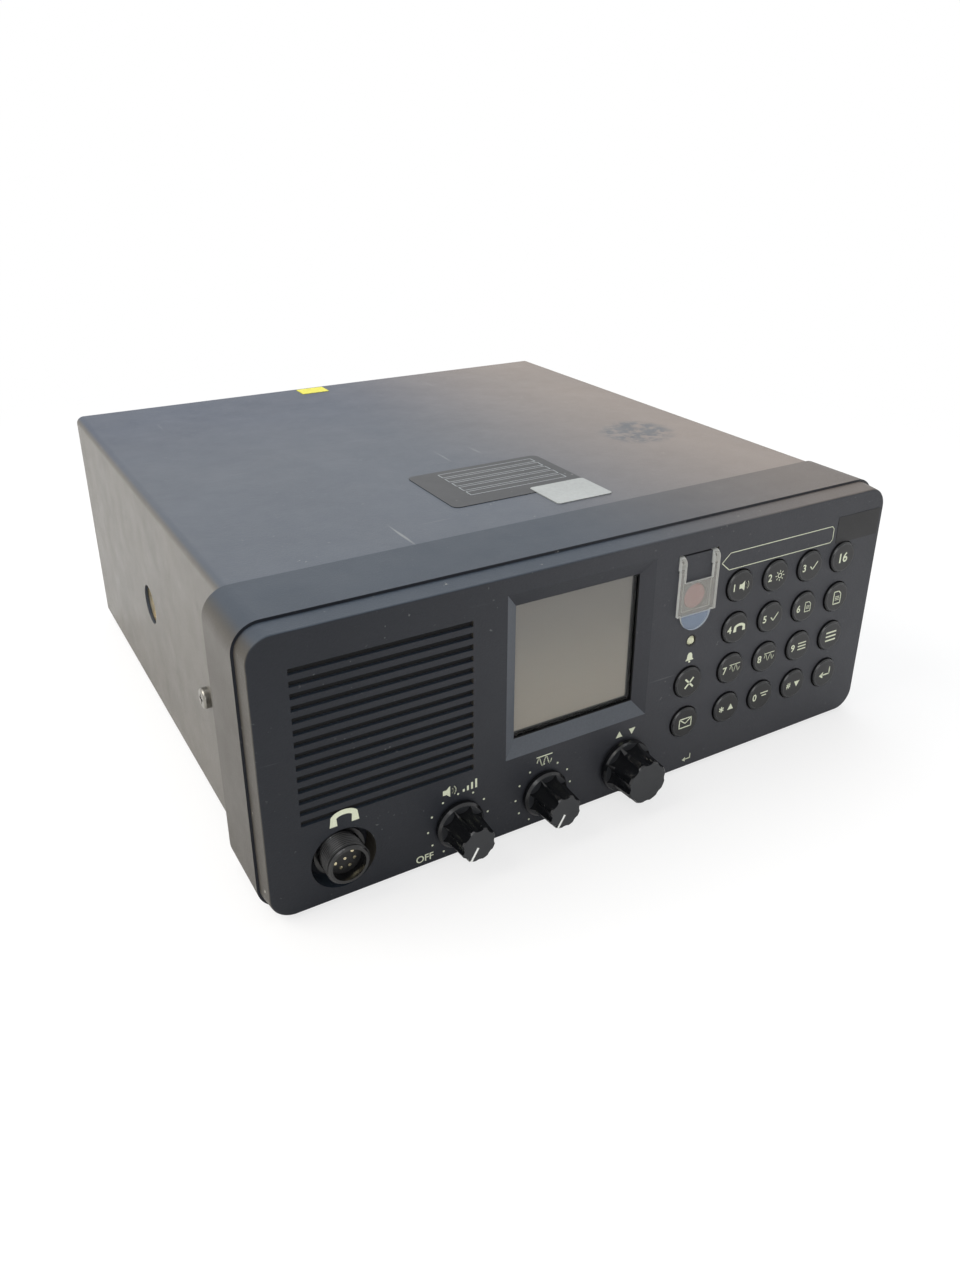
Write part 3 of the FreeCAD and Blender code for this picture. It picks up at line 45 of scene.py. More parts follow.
# Places on the radio, in millimetres: X to the right, Z up, and depths behind the raised face
MM = 0.001
FACE_Y = -133.25
PANEL_HALF = 139.0
PANEL_MID = 54.75
TOP_Z = 109.0
BEND_X, BEND_Z = 133.8, 109.1
KEY_PROUD = 1.3
PAD_X, PAD_LOW, COLUMN, ROW = 59.25, 25.0, 19.13, 18.5
SIDE_X = 36.8
BETWEEN_X = 47.5
DIAL_Z, DIAL_RADIUS, DIAL_START = 15.6, 12.3, 240.0
VOLUME_X, SQUELCH_X = -67.3, -30.7
KNOB_FRONT = 15.2
SOCKET_X, SOCKET_Z = -111.5, 18.1
LAMP_Z = 61.9

# How far a printed mark stands over its surface, and how wide its strokes are as a share of its size
INK = 0.06
STROKE = 0.07


def shade(red, green, blue):
    """A colour given as it looks on a screen, 0 to 255, in the linear values that shaders take."""
    return tuple((level / 255.0) ** 2.2 for level in (red, green, blue)) + (1.0,)


class Graph:
    """Short calls for the nodes of one material or node group."""

    def __init__(self, tree):
        self.tree = tree

    def fill(self, item, wanted):
        """Sets a node's inputs, given by name or number, or links them where the value is a socket."""
        for key, value in wanted.items():
            socket = item.inputs[key]
            if isinstance(value, bpy.types.NodeSocket):
                self.tree.links.new(value, socket)
            else:
                socket.default_value = value

    def add(self, kind, wanted, **settings):
        """A new node with its own settings and its inputs filled."""
        item = self.tree.nodes.new(kind)
        for name, value in settings.items():
            setattr(item, name, value)
        self.fill(item, wanted)
        return item

    def group(self, tree, **wanted):
        """The outputs of a shared group, whose inputs are named with _ for a space."""
        inputs = {name.replace("_", " "): value for name, value in wanted.items()}
        return self.add("ShaderNodeGroup", inputs, node_tree=tree).outputs

    def math(self, operation, first, second=0.0, third=0.0):
        """One sum on up to three numbers or sockets."""
        return self.add("ShaderNodeMath", {0: first, 1: second, 2: third}, operation=operation).outputs[0]

    def noise(self, where, scale, detail=3.0, rough=0.5):
        """Soft noise from 0 to 1, with scale in cells to the metre."""
        wanted = {"Vector": where, "Scale": scale, "Detail": detail, "Roughness": rough}
        return self.add("ShaderNodeTexNoise", wanted).outputs["Fac"]

    def band(self, value, low, high, start=0.0, end=1.0):
        """A smooth step of value from low to high."""
        wanted = {"Value": value, "From Min": low, "From Max": high, "To Min": start, "To Max": end}
        return self.add("ShaderNodeMapRange", wanted, interpolation_type="SMOOTHSTEP").outputs[0]

    def mix(self, factor, first, second):
        """A colour between the first and the second."""
        return self.add("ShaderNodeMix", {0: factor, 6: first, 7: second}, data_type="RGBA").outputs[2]

    def parts(self, vector):
        """X, Y and Z of a vector."""
        return self.add("ShaderNodeSeparateXYZ", {0: vector}).outputs

    def place(self):
        """Where the point lies on the piece, in metres."""
        return self.add("ShaderNodeTexCoord", {}).outputs["Object"]

    def facing(self):
        """The way the surface faces, in the piece's own axes, so that it stays when the piece turns."""
        return self.parts(self.add("ShaderNodeTexCoord", {}).outputs["Normal"])


# Shared effects, each a node group that is built once

def node_group(name, inputs, outputs):
    """A new shader group with named sockets: returns its graph, its input sockets and its output node."""
    tree = bpy.data.node_groups.new(name, "ShaderNodeTree")
    kinds = {"colour": "NodeSocketColor", "value": "NodeSocketFloat", "vector": "NodeSocketVector"}
    for way, sockets in (("INPUT", inputs), ("OUTPUT", outputs)):
        for label, kind in sockets.items():
            tree.interface.new_socket(label, in_out=way, socket_type=kinds[kind])
    given = tree.nodes.new("NodeGroupInput")
    result = tree.nodes.new("NodeGroupOutput")
    return Graph(tree), given.outputs, result


def surface_grain():
    """Cast, moulded or painted texture: the colour times blotches and grain, pale specks, and a bump."""
    graph, given, result = node_group(
        "surface_grain",
        {"Colour": "colour", "Speck": "colour", "Grain": "value", "Size": "value", "Specks": "value",
         "Roughness": "value"},
        {"Colour": "colour", "Roughness": "value", "Normal": "vector"})
    where = graph.place()
    blotch = graph.noise(where, 16.0, 4.0, 0.6)
    grain = graph.noise(where, given["Size"], 3.0, 0.6)
    dots = graph.noise(where, 620.0, 2.0, 0.5)
    patchy = graph.noise(where, 60.0, 3.0, 0.6)
    tone = graph.math("MULTIPLY_ADD", blotch, 0.36, 0.82)
    tone = graph.math("MULTIPLY_ADD", graph.math("SUBTRACT", grain, 0.5), 0.35, tone)
    toned = graph.add("ShaderNodeVectorMath", {0: given["Colour"], "Scale": tone}, operation="SCALE")
    lit = graph.math("MULTIPLY", graph.band(dots, 0.70, 0.78), graph.band(patchy, 0.45, 0.62))
    lit = graph.math("MULTIPLY", lit, given["Specks"])
    colour = graph.mix(lit, toned.outputs[0], given["Speck"])
    rough = graph.math("MULTIPLY_ADD", graph.math("SUBTRACT", patchy, 0.5), 0.18, given["Roughness"])
    bump = graph.add("ShaderNodeBump", {"Strength": given["Grain"], "Distance": 0.0004, "Height": grain})
    graph.fill(result, {"Colour": colour, "Roughness": rough, "Normal": bump.outputs[0]})
    return graph.tree


def edge_chips():
    """How worn a point near the border of the raised face is: 0 in the field, 1 on a chipped edge."""
    graph, given, result = node_group(
        "edge_chips",
        dict.fromkeys(("Half Width", "Half Height", "Middle", "Width", "Amount"), "value"),
        {"Wear": "value"})
    where = graph.place()
    place = graph.parts(where)
    across = graph.math("SUBTRACT", given["Half Width"], graph.math("ABSOLUTE", place["X"]))
    up = graph.math("ABSOLUTE", graph.math("SUBTRACT", place["Z"], given["Middle"]))
    up = graph.math("SUBTRACT", given["Half Height"], up)
    near = graph.math("ABSOLUTE", graph.math("MINIMUM", across, up))
    edge = graph.band(near, given["Width"], 0.0)
    broken = graph.band(graph.noise(where, 130.0, 5.0, 0.7), 0.64, 0.70)
    wear = graph.math("MULTIPLY", graph.math("MULTIPLY", edge, broken), given["Amount"])
    graph.fill(result, {"Wear": wear})
    return graph.tree


def fine_scratches():
    """Long faint scratches as one mask: noise drawn out along each of two directions, gated by patches."""
    graph, given, result = node_group("fine_scratches", {"Density": "value"}, {"Scratch": "value"})
    where = graph.place()
    masks = []
    for turn, stretch in ((0.35, (18.0, 420.0, 420.0)), (-0.6, (420.0, 22.0, 420.0))):
        turned = graph.add("ShaderNodeMapping",
                           {"Vector": where, "Rotation": (0.0, 0.3, turn), "Scale": stretch})
        lines = graph.noise(turned.outputs[0], 1.0, 2.0, 0.4)
        masks.append(graph.band(lines, 0.74, 0.80))
    both = graph.math("MAXIMUM", masks[0], masks[1])
    gate = graph.band(graph.noise(where, 22.0, 2.0), 0.5, 0.66)
    both = graph.math("MULTIPLY", graph.math("MULTIPLY", both, gate), given["Density"])
    graph.fill(result, {"Scratch": both})
    return graph.tree


GRAIN, CHIPS, SCRATCH = surface_grain(), edge_chips(), fine_scratches()


# Finishes, each under the name of its material slot

def material(name):
    """A new material: itself, its graph and its shader."""
    made = bpy.data.materials.new(name)
    made.use_nodes = True
    return made, Graph(made.node_tree), made.node_tree.nodes["Principled BSDF"]


def grained(name, colour, roughness, grain, size, specks, speck=shade(170, 172, 170), metallic=0.0,
            coat=0.0, scratches=0.0):
    """A finish with the shared grain alone: plastic, rubber, bare or plated metal."""
    made, graph, shader = material(name)
    skin = graph.group(GRAIN, Colour=colour, Speck=speck, Grain=grain, Size=size, Specks=specks,
                       Roughness=roughness)
    tint = skin["Colour"]
    if scratches:
        tint = graph.mix(graph.group(SCRATCH, Density=scratches)["Scratch"], tint, speck)
    graph.fill(shader, {"Base Color": tint, "Roughness": skin["Roughness"], "Normal": skin["Normal"],
                        "Metallic": metallic, "Coat Weight": coat, "Coat Roughness": 0.12})
    return made


def panel_paint():
    """Charcoal on the casting, with chips round the raised face and faint scratches.

    It is darker at the left of the front, lighter on the top with a painted sheen that goes from bluish to
    warm along it, and greyer on the left wall with painted warm light."""
    made, graph, shader = material("panel_paint")
    place = graph.parts(graph.place())
    facing = graph.facing()
    front = graph.mix(graph.band(place["X"], -0.15, 0.06), shade(29, 32, 38), shade(58, 59, 63))
    # Painted sheen on the faces that look up: lighter than the front, bluish at the left and warm at the
    # right
    sheen_on_top = graph.mix(graph.band(place["X"], -0.02, 0.13), shade(50, 57, 66), shade(92, 86, 82))
    colour = graph.mix(graph.band(facing["Z"], 0.35, 0.9), front, sheen_on_top)
    # Painted warm light on the left wall: lighter and greyer than the front
    colour = graph.mix(graph.band(facing["X"], -0.5, -0.95), colour, shade(66, 63, 58))
    # Painted light on the slopes of the display's recess that face up or to the right, at its left and
    # lower side, up to its outer edge
    low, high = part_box("display_window")
    recess, fade = 0.009, 0.001
    lit_slope = graph.math("MAXIMUM", graph.band(facing["X"], 0.2, 0.5), graph.band(facing["Z"], 0.2, 0.5))
    for axis, start, end in (("X", low[0], high[0]), ("Z", low[2], high[2])):
        inside = graph.band(place[axis], start - recess, start - recess + fade)
        lit_slope = graph.math("MULTIPLY", lit_slope, inside)
        inside = graph.band(place[axis], end + recess, end + recess - fade)
        lit_slope = graph.math("MULTIPLY", lit_slope, inside)
    colour = graph.mix(lit_slope, colour, shade(86, 90, 96))
    skin = graph.group(GRAIN, Colour=colour, Speck=shade(150, 152, 150), Grain=0.28, Size=1700.0,
                       Specks=0.25, Roughness=0.46)
    worn = graph.group(CHIPS, Half_Width=PANEL_HALF * MM, Half_Height=(PANEL_MID - 1.0) * MM,
                       Middle=PANEL_MID * MM, Width=0.0009, Amount=0.8)["Wear"]
    lines = graph.group(SCRATCH, Density=0.22)["Scratch"]
    tint = graph.mix(lines, skin["Colour"], shade(120, 124, 126))
    tint = graph.mix(worn, tint, shade(176, 174, 166))
    graph.fill(shader, {"Base Color": tint, "Roughness": skin["Roughness"], "Normal": skin["Normal"],
                        "Specular IOR Level": 0.26})
    return made


def cover_paint():
    """Paint on the folded cover: cool to warm across its top as painted reflection, lighter and warm on its
    sides as painted warm light, worn along the bends.
    """
    made, graph, shader = material("cover_paint")
    where = graph.place()
    place = graph.parts(where)
    side = graph.band(graph.math("ABSOLUTE", graph.facing()["X"]), 0.5, 0.98)
    cool = graph.mix(graph.band(place["Y"], 0.0, 0.13), shade(56, 63, 73), shade(40, 50, 66))
    # Painted reflection on the top: cool at the left, warm at the right
    top = graph.mix(graph.band(place["X"], -0.02, 0.13), cool, shade(112, 102, 95))
    # Painted warm light on the sides, mottled: lighter and warmer than the top
    warm_side_light = graph.mix(graph.noise(where, 34.0, 5.0, 0.7), shade(67, 64, 59), shade(82, 78, 71))
    skin = graph.group(GRAIN, Colour=graph.mix(side, top, warm_side_light), Speck=shade(196, 196, 190), Grain=0.3,
                       Size=1500.0, Specks=0.3, Roughness=0.42)
    spots = graph.math("MULTIPLY", graph.band(graph.noise(where, 240.0, 3.0, 0.6), 0.64, 0.72), side)
    tint = graph.mix(spots, skin["Colour"], shade(70, 66, 62))
    lines = graph.group(SCRATCH, Density=0.35)["Scratch"]
    tint = graph.mix(lines, tint, shade(150, 152, 150))
    # A round patch on the top where something was once stuck
    middle = (0.094, -0.021, TOP_Z * MM)
    from_patch = graph.add("ShaderNodeVectorMath", {0: where, 1: middle}, operation="DISTANCE")
    patch = graph.band(from_patch.outputs["Value"], 0.021, 0.013)
    patch = graph.math("MULTIPLY", patch, graph.band(graph.noise(where, 150.0, 5.0, 0.75), 0.42, 0.56))
    tint = graph.mix(graph.math("MULTIPLY", patch, 0.8), tint, shade(52, 60, 68))
    # Bare metal here and there on the bends
    from_bend = graph.math("SUBTRACT", BEND_X * MM, graph.math("ABSOLUTE", place["X"]))
    from_top = graph.math("SUBTRACT", BEND_Z * MM, place["Z"])
    bend = graph.band(graph.math("ADD", from_bend, from_top), 0.0028, 0.0016)
    broken = graph.band(graph.noise(where, 90.0, 5.0, 0.7), 0.60, 0.68)
    tint = graph.mix(graph.math("MULTIPLY", bend, broken), tint, shade(176, 176, 170))
    graph.fill(shader, {"Base Color": tint, "Roughness": skin["Roughness"], "Normal": skin["Normal"]})
    return made


def display_grey():
    """The unlit display: warm grey, faint dark lines between its dots, and painted shade of the gap along
    its right and lower edge.
    """
    made, graph, shader = material("display_grey")
    where = graph.place()
    place = graph.parts(where)
    dot_pitch = 1.1
    waves = 2.0 * math.pi / (dot_pitch * MM)
    rows = graph.math("SINE", graph.math("MULTIPLY", place["Z"], waves))
    columns = graph.math("SINE", graph.math("MULTIPLY", place["X"], waves))
    grid = graph.math("MULTIPLY", graph.band(rows, 0.55, 1.0), 0.12)
    grid = graph.math("ADD", grid, graph.math("MULTIPLY", graph.band(columns, 0.55, 1.0), 0.08))
    tone = graph.mix(graph.band(place["Z"], 0.042, 0.094), shade(150, 142, 132), shade(112, 108, 104))
    tone = graph.mix(grid, tone, shade(60, 58, 56))
    cloudy = graph.noise(where, 30.0, 3.0)
    tone = graph.mix(graph.math("MULTIPLY", cloudy, 0.3), tone, shade(120, 112, 104))
    low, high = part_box("display_glass")
    clear, dark = 0.0011, 0.0006
    # Painted shade of the gap along the glass's right and lower edge
    right = graph.band(place["X"], high[0] - clear, high[0] - dark)
    shade_below = graph.band(place["Z"], low[2] + clear, low[2] + dark)
    tone = graph.mix(graph.math("MAXIMUM", right, shade_below), tone, shade(30, 30, 32))
    rough = graph.math("MULTIPLY_ADD", cloudy, 0.15, 0.32)
    graph.fill(shader, {"Base Color": tone, "Roughness": rough})
    return made


def key_rubber():
    """Round black keys: matte, with a slightly polished outer ring that is greyer as a painted highlight.
    """
    made, graph, shader = material("key_black")
    place = graph.parts(graph.place())
    # Distance of a point from the middle of the key that it lies on
    offsets = []
    for axis, start, pitch in (("X", PAD_X * MM, COLUMN * MM), ("Z", PAD_LOW * MM, ROW * MM)):
        steps = graph.math("DIVIDE", graph.math("SUBTRACT", place[axis], start), pitch)
        apart = graph.math("SUBTRACT", steps, graph.math("ROUND", steps))
        offsets.append(graph.math("MULTIPLY", apart, pitch))
    in_side_column = graph.math("LESS_THAN", place["X"], BETWEEN_X * MM)
    from_side = graph.math("SUBTRACT", place["X"], SIDE_X * MM)
    across = graph.add("ShaderNodeMix", {"Factor": in_side_column, "A": offsets[0], "B": from_side})
    squares = [graph.math("MULTIPLY", offset, offset) for offset in (across.outputs[0], offsets[1])]
    radius = graph.math("SQRT", graph.math("ADD", squares[0], squares[1]))
    rim_highlight_and_polish = graph.math("MULTIPLY", graph.band(radius, 0.0054, 0.0061), graph.band(radius, 0.0068, 0.0064))
    skin = graph.group(GRAIN, Colour=shade(13, 13, 15), Speck=shade(90, 92, 94), Grain=0.12, Size=1800.0,
                       Specks=0.3, Roughness=0.42)
    # Painted highlight on each key's outer ring: greyer there, where it is also smoother
    tint = graph.mix(graph.math("MULTIPLY", rim_highlight_and_polish, 0.3), skin["Colour"], shade(52, 54, 57))
    rough = graph.math("MULTIPLY_ADD", rim_highlight_and_polish, -0.2, skin["Roughness"])
    graph.fill(shader, {"Base Color": tint, "Roughness": rough, "Normal": skin["Normal"]})
    return made


def knob_black():
    """Glossy black sides and a matte black front."""
    made, graph, shader = material("knob_black")
    front = graph.band(graph.facing()["Y"], -0.80, -0.97)
    skin = graph.group(GRAIN, Colour=shade(20, 21, 23), Speck=shade(110, 112, 114), Grain=0.05, Size=900.0,
                       Specks=0.25, Roughness=0.2)
    tint = graph.mix(front, skin["Colour"], shade(33, 35, 38))
    rough = graph.math("MULTIPLY_ADD", front, 0.3, skin["Roughness"])
    graph.fill(shader, {"Base Color": tint, "Roughness": rough, "Normal": skin["Normal"]})
    return made


def window_plastic():
    """The display's clear window, faintly scratched and clouded."""
    made, graph, shader = material("window_clear")
    lines = graph.group(SCRATCH, Density=0.7)["Scratch"]
    rough = graph.math("MULTIPLY_ADD", graph.noise(graph.place(), 220.0, 3.0), 0.05, 0.04)
    rough = graph.math("MULTIPLY_ADD", lines, 0.3, rough)
    tint = graph.mix(lines, (0.96, 0.97, 0.96, 1.0), shade(240, 240, 240))
    graph.fill(shader, {"Base Color": tint, "Roughness": rough, "Transmission Weight": 1.0, "IOR": 1.25})
    return made


def cover_plastic():
    """The flip-up cover's clear plastic: pale, brighter along its edges as a painted highlight and denser
    there, bluish in its tab.
    """
    made, graph, shader = material("cover_clear")
    where = graph.place()
    edge = graph.band(graph.math("ABSOLUTE", graph.facing()["Y"]), 0.9, 0.3)
    tab = graph.band(graph.parts(where)["Z"], 0.0746, 0.0740)
    lines = graph.group(SCRATCH, Density=0.8)["Scratch"]
    tint = graph.mix(tab, shade(196, 194, 186), shade(150, 166, 188))
    # Painted highlight along the edges, and pale scratches
    tint = graph.mix(graph.math("MAXIMUM", edge, lines), tint, shade(238, 240, 236))
    dense = graph.math("MULTIPLY_ADD", edge, 0.42, 0.24)
    dense = graph.math("MULTIPLY_ADD", tab, 0.12, dense)
    dense = graph.math("MULTIPLY_ADD", lines, 0.3, dense)
    rough = graph.math("MULTIPLY_ADD", graph.noise(where, 220.0, 3.0), 0.1, 0.05)
    graph.fill(shader, {"Base Color": tint, "Alpha": dense, "Roughness": rough})
    return made


def woven_cloth():
    """Black dust cloth: its weave is the product of two sets of threads, each a sine."""
    made, graph, shader = material("speaker_cloth_black")
    place = graph.parts(graph.place())
    threads_to_metre = 1600.0
    across, up = (graph.math("SINE", graph.math("MULTIPLY", place[axis], 2.0 * math.pi * threads_to_metre))
                  for axis in "XZ")
    weave = graph.math("MULTIPLY", across, up)
    tint = graph.mix(graph.band(weave, -0.2, 0.9), shade(10, 10, 11), shade(30, 30, 32))
    bump = graph.add("ShaderNodeBump", {"Strength": 0.4, "Distance": 0.0002, "Height": weave})
    graph.fill(shader, {"Base Color": tint, "Roughness": 0.95, "Normal": bump.outputs[0]})
    return made


def circuit_board():
    """Green lacquered board: copper tracks on the edges of coarse cells, and pads amid fine ones."""
    made, graph, shader = material("board_green")
    where = graph.place()
    cells = graph.add("ShaderNodeTexVoronoi", {"Vector": where, "Scale": 210.0}, feature="DISTANCE_TO_EDGE")
    tracks = graph.band(cells.outputs["Distance"], 0.09, 0.05)
    spots = graph.add("ShaderNodeTexVoronoi", {"Vector": where, "Scale": 330.0})
    pads = graph.band(spots.outputs["Distance"], 0.20, 0.14)
    tint = graph.mix(graph.math("MULTIPLY", tracks, 0.5), shade(24, 92, 58), shade(48, 128, 84))
    tint = graph.mix(graph.math("MULTIPLY", pads, 0.8), tint, shade(196, 190, 170))
    graph.fill(shader, {"Base Color": tint, "Roughness": 0.3})
    return made


FINISHES = {
    "panel_paint": panel_paint(),
    "cover_paint": cover_paint(),
    "display_grey": display_grey(),
    "key_black": key_rubber(),
    "knob_black": knob_black(),
    "speaker_cloth_black": woven_cloth(),
    "board_green": circuit_board(),
    "window_clear": window_plastic(),
    "cover_clear": cover_plastic(),
}

# Finishes with the shared grain alone: colour, roughness, depth and fineness of the grain, share of specks,
# and what sets them off from plain plastic
METAL = {"metallic": 1.0}
GRAINED = {
    "chassis_steel": ((176, 176, 170), 0.38, 0.08, 700.0, 0.5, {"metallic": 1.0, "scratches": 0.6}),
    "foot_rubber": ((32, 32, 33), 0.85, 0.4, 1100.0, 0.2, {}),
    "bush_brass": ((186, 158, 96), 0.35, 0.1, 900.0, 0.3, {"metallic": 1.0, "scratches": 0.5}),
    "side_screw_steel": ((128, 126, 120), 0.34, 0.08, 900.0, 0.5, {"metallic": 1.0, "scratches": 0.8}),
    "screw_steel": ((190, 190, 186), 0.32, 0.08, 900.0, 0.4, METAL),
    "gasket_rubber": ((24, 24, 25), 0.8, 0.3, 1400.0, 0.1, {}),
    "display_black": ((22, 22, 24), 0.6, 0.15, 1200.0, 0.1, {}),
    "speaker_steel": ((150, 150, 146), 0.4, 0.1, 800.0, 0.4, METAL),
    "speaker_paper": ((38, 37, 36), 0.92, 0.6, 500.0, 0.5, {}),
    "magnet_dark": ((52, 51, 50), 0.6, 0.4, 600.0, 0.4, {}),
    "shaft_metal": ((190, 190, 188), 0.3, 0.06, 900.0, 0.4, METAL),
    "control_case": ((168, 168, 164), 0.36, 0.08, 700.0, 0.4, METAL),
    "socket_black": ((13, 13, 15), 0.28, 0.06, 900.0, 0.7, {"coat": 0.2}),
    "insert_black": ((18, 18, 19), 0.55, 0.1, 1200.0, 0.2, {}),
    "button_red": ((134, 58, 58), 0.34, 0.05, 900.0, 0.3, {"coat": 0.3}),
    "lamp_pale": ((198, 200, 168), 0.3, 0.05, 900.0, 0.1, {"coat": 0.5}),
    "switch_black": ((36, 36, 38), 0.5, 0.1, 900.0, 0.2, {}),
    "can_tin": ((196, 196, 190), 0.34, 0.12, 300.0, 0.4, {"metallic": 1.0, "scratches": 0.5}),
    "module_black": ((34, 34, 36), 0.55, 0.3, 900.0, 0.2, {}),
    "sink_black": ((46, 48, 52), 0.5, 0.3, 1300.0, 0.5, {"metallic": 0.35, "scratches": 0.4}),
    "aerial_nickel": ((206, 202, 190), 0.24, 0.06, 800.0, 0.5, {"metallic": 1.0, "scratches": 0.5}),
    "aerial_insulator": ((214, 210, 198), 0.5, 0.1, 900.0, 0.3, {}),
    "inlet_black": ((26, 26, 28), 0.5, 0.15, 1100.0, 0.2, {}),
    # Finishes of the scene's own pieces
    "legend_cream": ((206, 211, 186), 0.6, 0.04, 1500.0, 0.0, {"speck": shade(120, 124, 118)}),
    "pointer_white": ((232, 234, 230), 0.45, 0.04, 900.0, 0.1, {}),
    "contact_gold": ((214, 204, 170), 0.25, 0.04, 900.0, 0.2, METAL),
    "label_dark": ((22, 24, 28), 0.42, 0.05, 900.0, 0.5, {"scratches": 0.8}),
    "label_black": ((14, 13, 15), 0.5, 0.05, 900.0, 0.4, {"scratches": 0.5}),
    "label_lines": ((150, 156, 158), 0.5, 0.05, 900.0, 0.2, {}),
    "label_silver": ((150, 153, 152), 0.42, 0.08, 700.0, 0.5, {"metallic": 0.4, "scratches": 0.7}),
    "tape_yellow": ((196, 190, 70), 0.6, 0.25, 500.0, 0.4, {}),
}
for name, (colour, roughness, grain, size, specks, more) in GRAINED.items():
    FINISHES[name] = grained(name, shade(*colour), roughness, grain, size, specks, **more)

slot_of = {item["node"]: item["material_slot"] for item in frame["record"]["subparts"]}
for label, item in nodes.items():
    for place in item.material_slots:
        place.material = FINISHES[slot_of[label]]
nodes["hinge_pin"].material_slots[0].material = FINISHES["socket_black"]


# Flat marks: outlines in millimetres, across and up on the raised face, or across and back on the top

def on_face(outline, height):
    """Points at a height in front of the raised face: across, then up."""
    return np.column_stack([outline[:, 0], np.full(len(outline), FACE_Y - height), outline[:, 1]])


def on_top(outline, height):
    """Points at a height over the cover's top: across, then back from the raised face."""
    return np.column_stack([outline[:, 0], FACE_Y + outline[:, 1], np.full(len(outline), TOP_Z + height)])


def ring_points(x, z, radius, count):
    """Points evenly round a circle."""
    turn = np.linspace(0.0, 2.0 * np.pi, count, endpoint=False)
    return np.column_stack([x + radius * np.cos(turn), z + radius * np.sin(turn)])


def turned_to(points, faces, wanted):
    """The faces, each wound so that the summed area of its triangles looks the wanted way."""
    result = []
    for face in faces:
        corners = points[list(face)]
        after = np.roll(corners, -1, axis=0)
        area = np.cross(corners - corners[0], after - corners[0]).sum(axis=0)
        result.append(face if area @ np.asarray(wanted, float) > 0 else face[::-1])
    return result


def finished(name, points, faces, body, finish, smooth=False):
    """A piece from its points in metres and its faces, with its finish, on its body."""
    mesh = bpy.data.meshes.new(name)
    mesh.from_pydata(np.asarray(points).tolist(), [], [list(face) for face in faces])
    mesh.materials.append(FINISHES[finish])
    if smooth:
        mesh.shade_smooth()
    item = bpy.data.objects.new(name, mesh)
    bpy.context.scene.collection.objects.link(item)
    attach(item, body)


class Marks:
    """Flat printed shapes gathered into one mesh, all at one height over their surface."""

    def __init__(self):
        self.points, self.faces = [], []

    def shape(self, outline):
        """A filled outline, given as points in order."""
        start = sum(len(block) for block in self.points)
        self.points.append(np.asarray(outline, float))
        self.faces.append(tuple(range(start, start + len(outline))))

    def dot(self, x, z, radius, count):
        """A filled circle of so many corners."""
        self.shape(ring_points(x, z, radius, count))

    def ring(self, x, z, radius, width, count):
        """A circle drawn as quads between an inner and an outer ring of points."""
        inner, outer = ring_points(x, z, radius - width, count), ring_points(x, z, radius, count)
        for step in range(count):
            after = (step + 1) % count
            self.shape([inner[step], outer[step], outer[after], inner[after]])

    def line(self, first, second, width):
        """A straight stroke: a rectangle along the two points."""
        first, second = np.array(first, float), np.array(second, float)
        along = (second - first) / np.linalg.norm(second - first)
        side = np.array([-along[1], along[0]]) * width / 2.0
        self.shape([first - side, second - side, second + side, first + side])

    def path(self, points, width, closed=False):
        """A bent stroke: straight strokes with a dot at each turn."""
        points = [tuple(point) for point in points]
        ends = points[1:] + points[:1] if closed else points[1:]
        for first, second in zip(points, ends):
            self.line(first, second, width)
        for x, z in points:
            self.dot(x, z, width / 2.0, 8)

    def text(self, words, x, z, height, bold):
        """Plain figures centred on x, z: height is a capital's, and bold moves their outlines outward."""
        curve = bpy.data.curves.new("figures", "FONT")
        curve.body, curve.size, curve.offset = words, 1.0, bold
        holder = bpy.data.objects.new("figures", curve)
        bpy.context.scene.collection.objects.link(holder)
        mesh = bpy.data.meshes.new_from_object(holder)
        flat = np.empty(len(mesh.vertices) * 3)
        mesh.vertices.foreach_get("co", flat)
        flat = flat.reshape(-1, 3)[:, :2]
        low, high = flat.min(axis=0), flat.max(axis=0)
        capital = 0.72
        tall = capital if words.isalnum() else high[1] - low[1]
        start = sum(len(block) for block in self.points)
        self.points.append((flat - (low + high) / 2.0) * (height / tall) + (x, z))
        self.faces += [tuple(start + number for number in face.vertices) for face in mesh.polygons]
        bpy.data.objects.remove(holder)
        bpy.data.curves.remove(curve)
        bpy.data.meshes.remove(mesh)

    def build(self, name, height, body, finish, surface=on_face, outward=(0, -1, 0)):
        """All the marks as one piece, at one height over a surface and looking outward from it."""
        points = surface(np.concatenate(self.points), height) * MM
        finished(name, points, turned_to(points, self.faces, outward), body, finish)


# Plain signs, each drawn about 0, 0 at a size of 1 and brought to its place and size

def placed(points, x, z, size):
    """The points of a sign, times its size, plus its place."""
    return np.asarray(points, float) * size + (x, z)


def pictogram_horn(marks, x, z, size):
    """A loudspeaker's outline with two arcs of sound waves."""
    body = [(-0.5, -0.18), (-0.25, -0.18), (0.02, -0.42), (0.02, 0.42), (-0.25, 0.18), (-0.5, 0.18)]
    marks.shape(placed(body, x, z, size))
    turn = np.linspace(-0.75, 0.75, 7)
    for reach in (0.24, 0.42):
        arc = np.column_stack([0.02 + reach * np.cos(turn), reach * np.sin(turn)])
        marks.path(placed(arc, x, z, size), size * STROKE)


def pictogram_sun(marks, x, z, size):
    """A ring with eight rays, evenly round it."""
    marks.ring(x, z, size * 0.22, size * STROKE, 20)
    for turn in np.arange(8) * math.pi / 4:
        ray = np.outer((0.3, 0.46), (math.cos(turn), math.sin(turn)))
        marks.line(*placed(ray, x, z, size), size * STROKE)


def pictogram_bars(marks, x, z, size, widths=(1.0, 1.0, 1.0)):
    """Level bars, one under another, each as wide as its share."""
    for step, share in enumerate(widths):
        level = 0.28 - 0.28 * step
        bar = [(-0.45 * share, level), (0.45 * share, level)]
        marks.line(*placed(bar, x, z, size), size * 0.11)


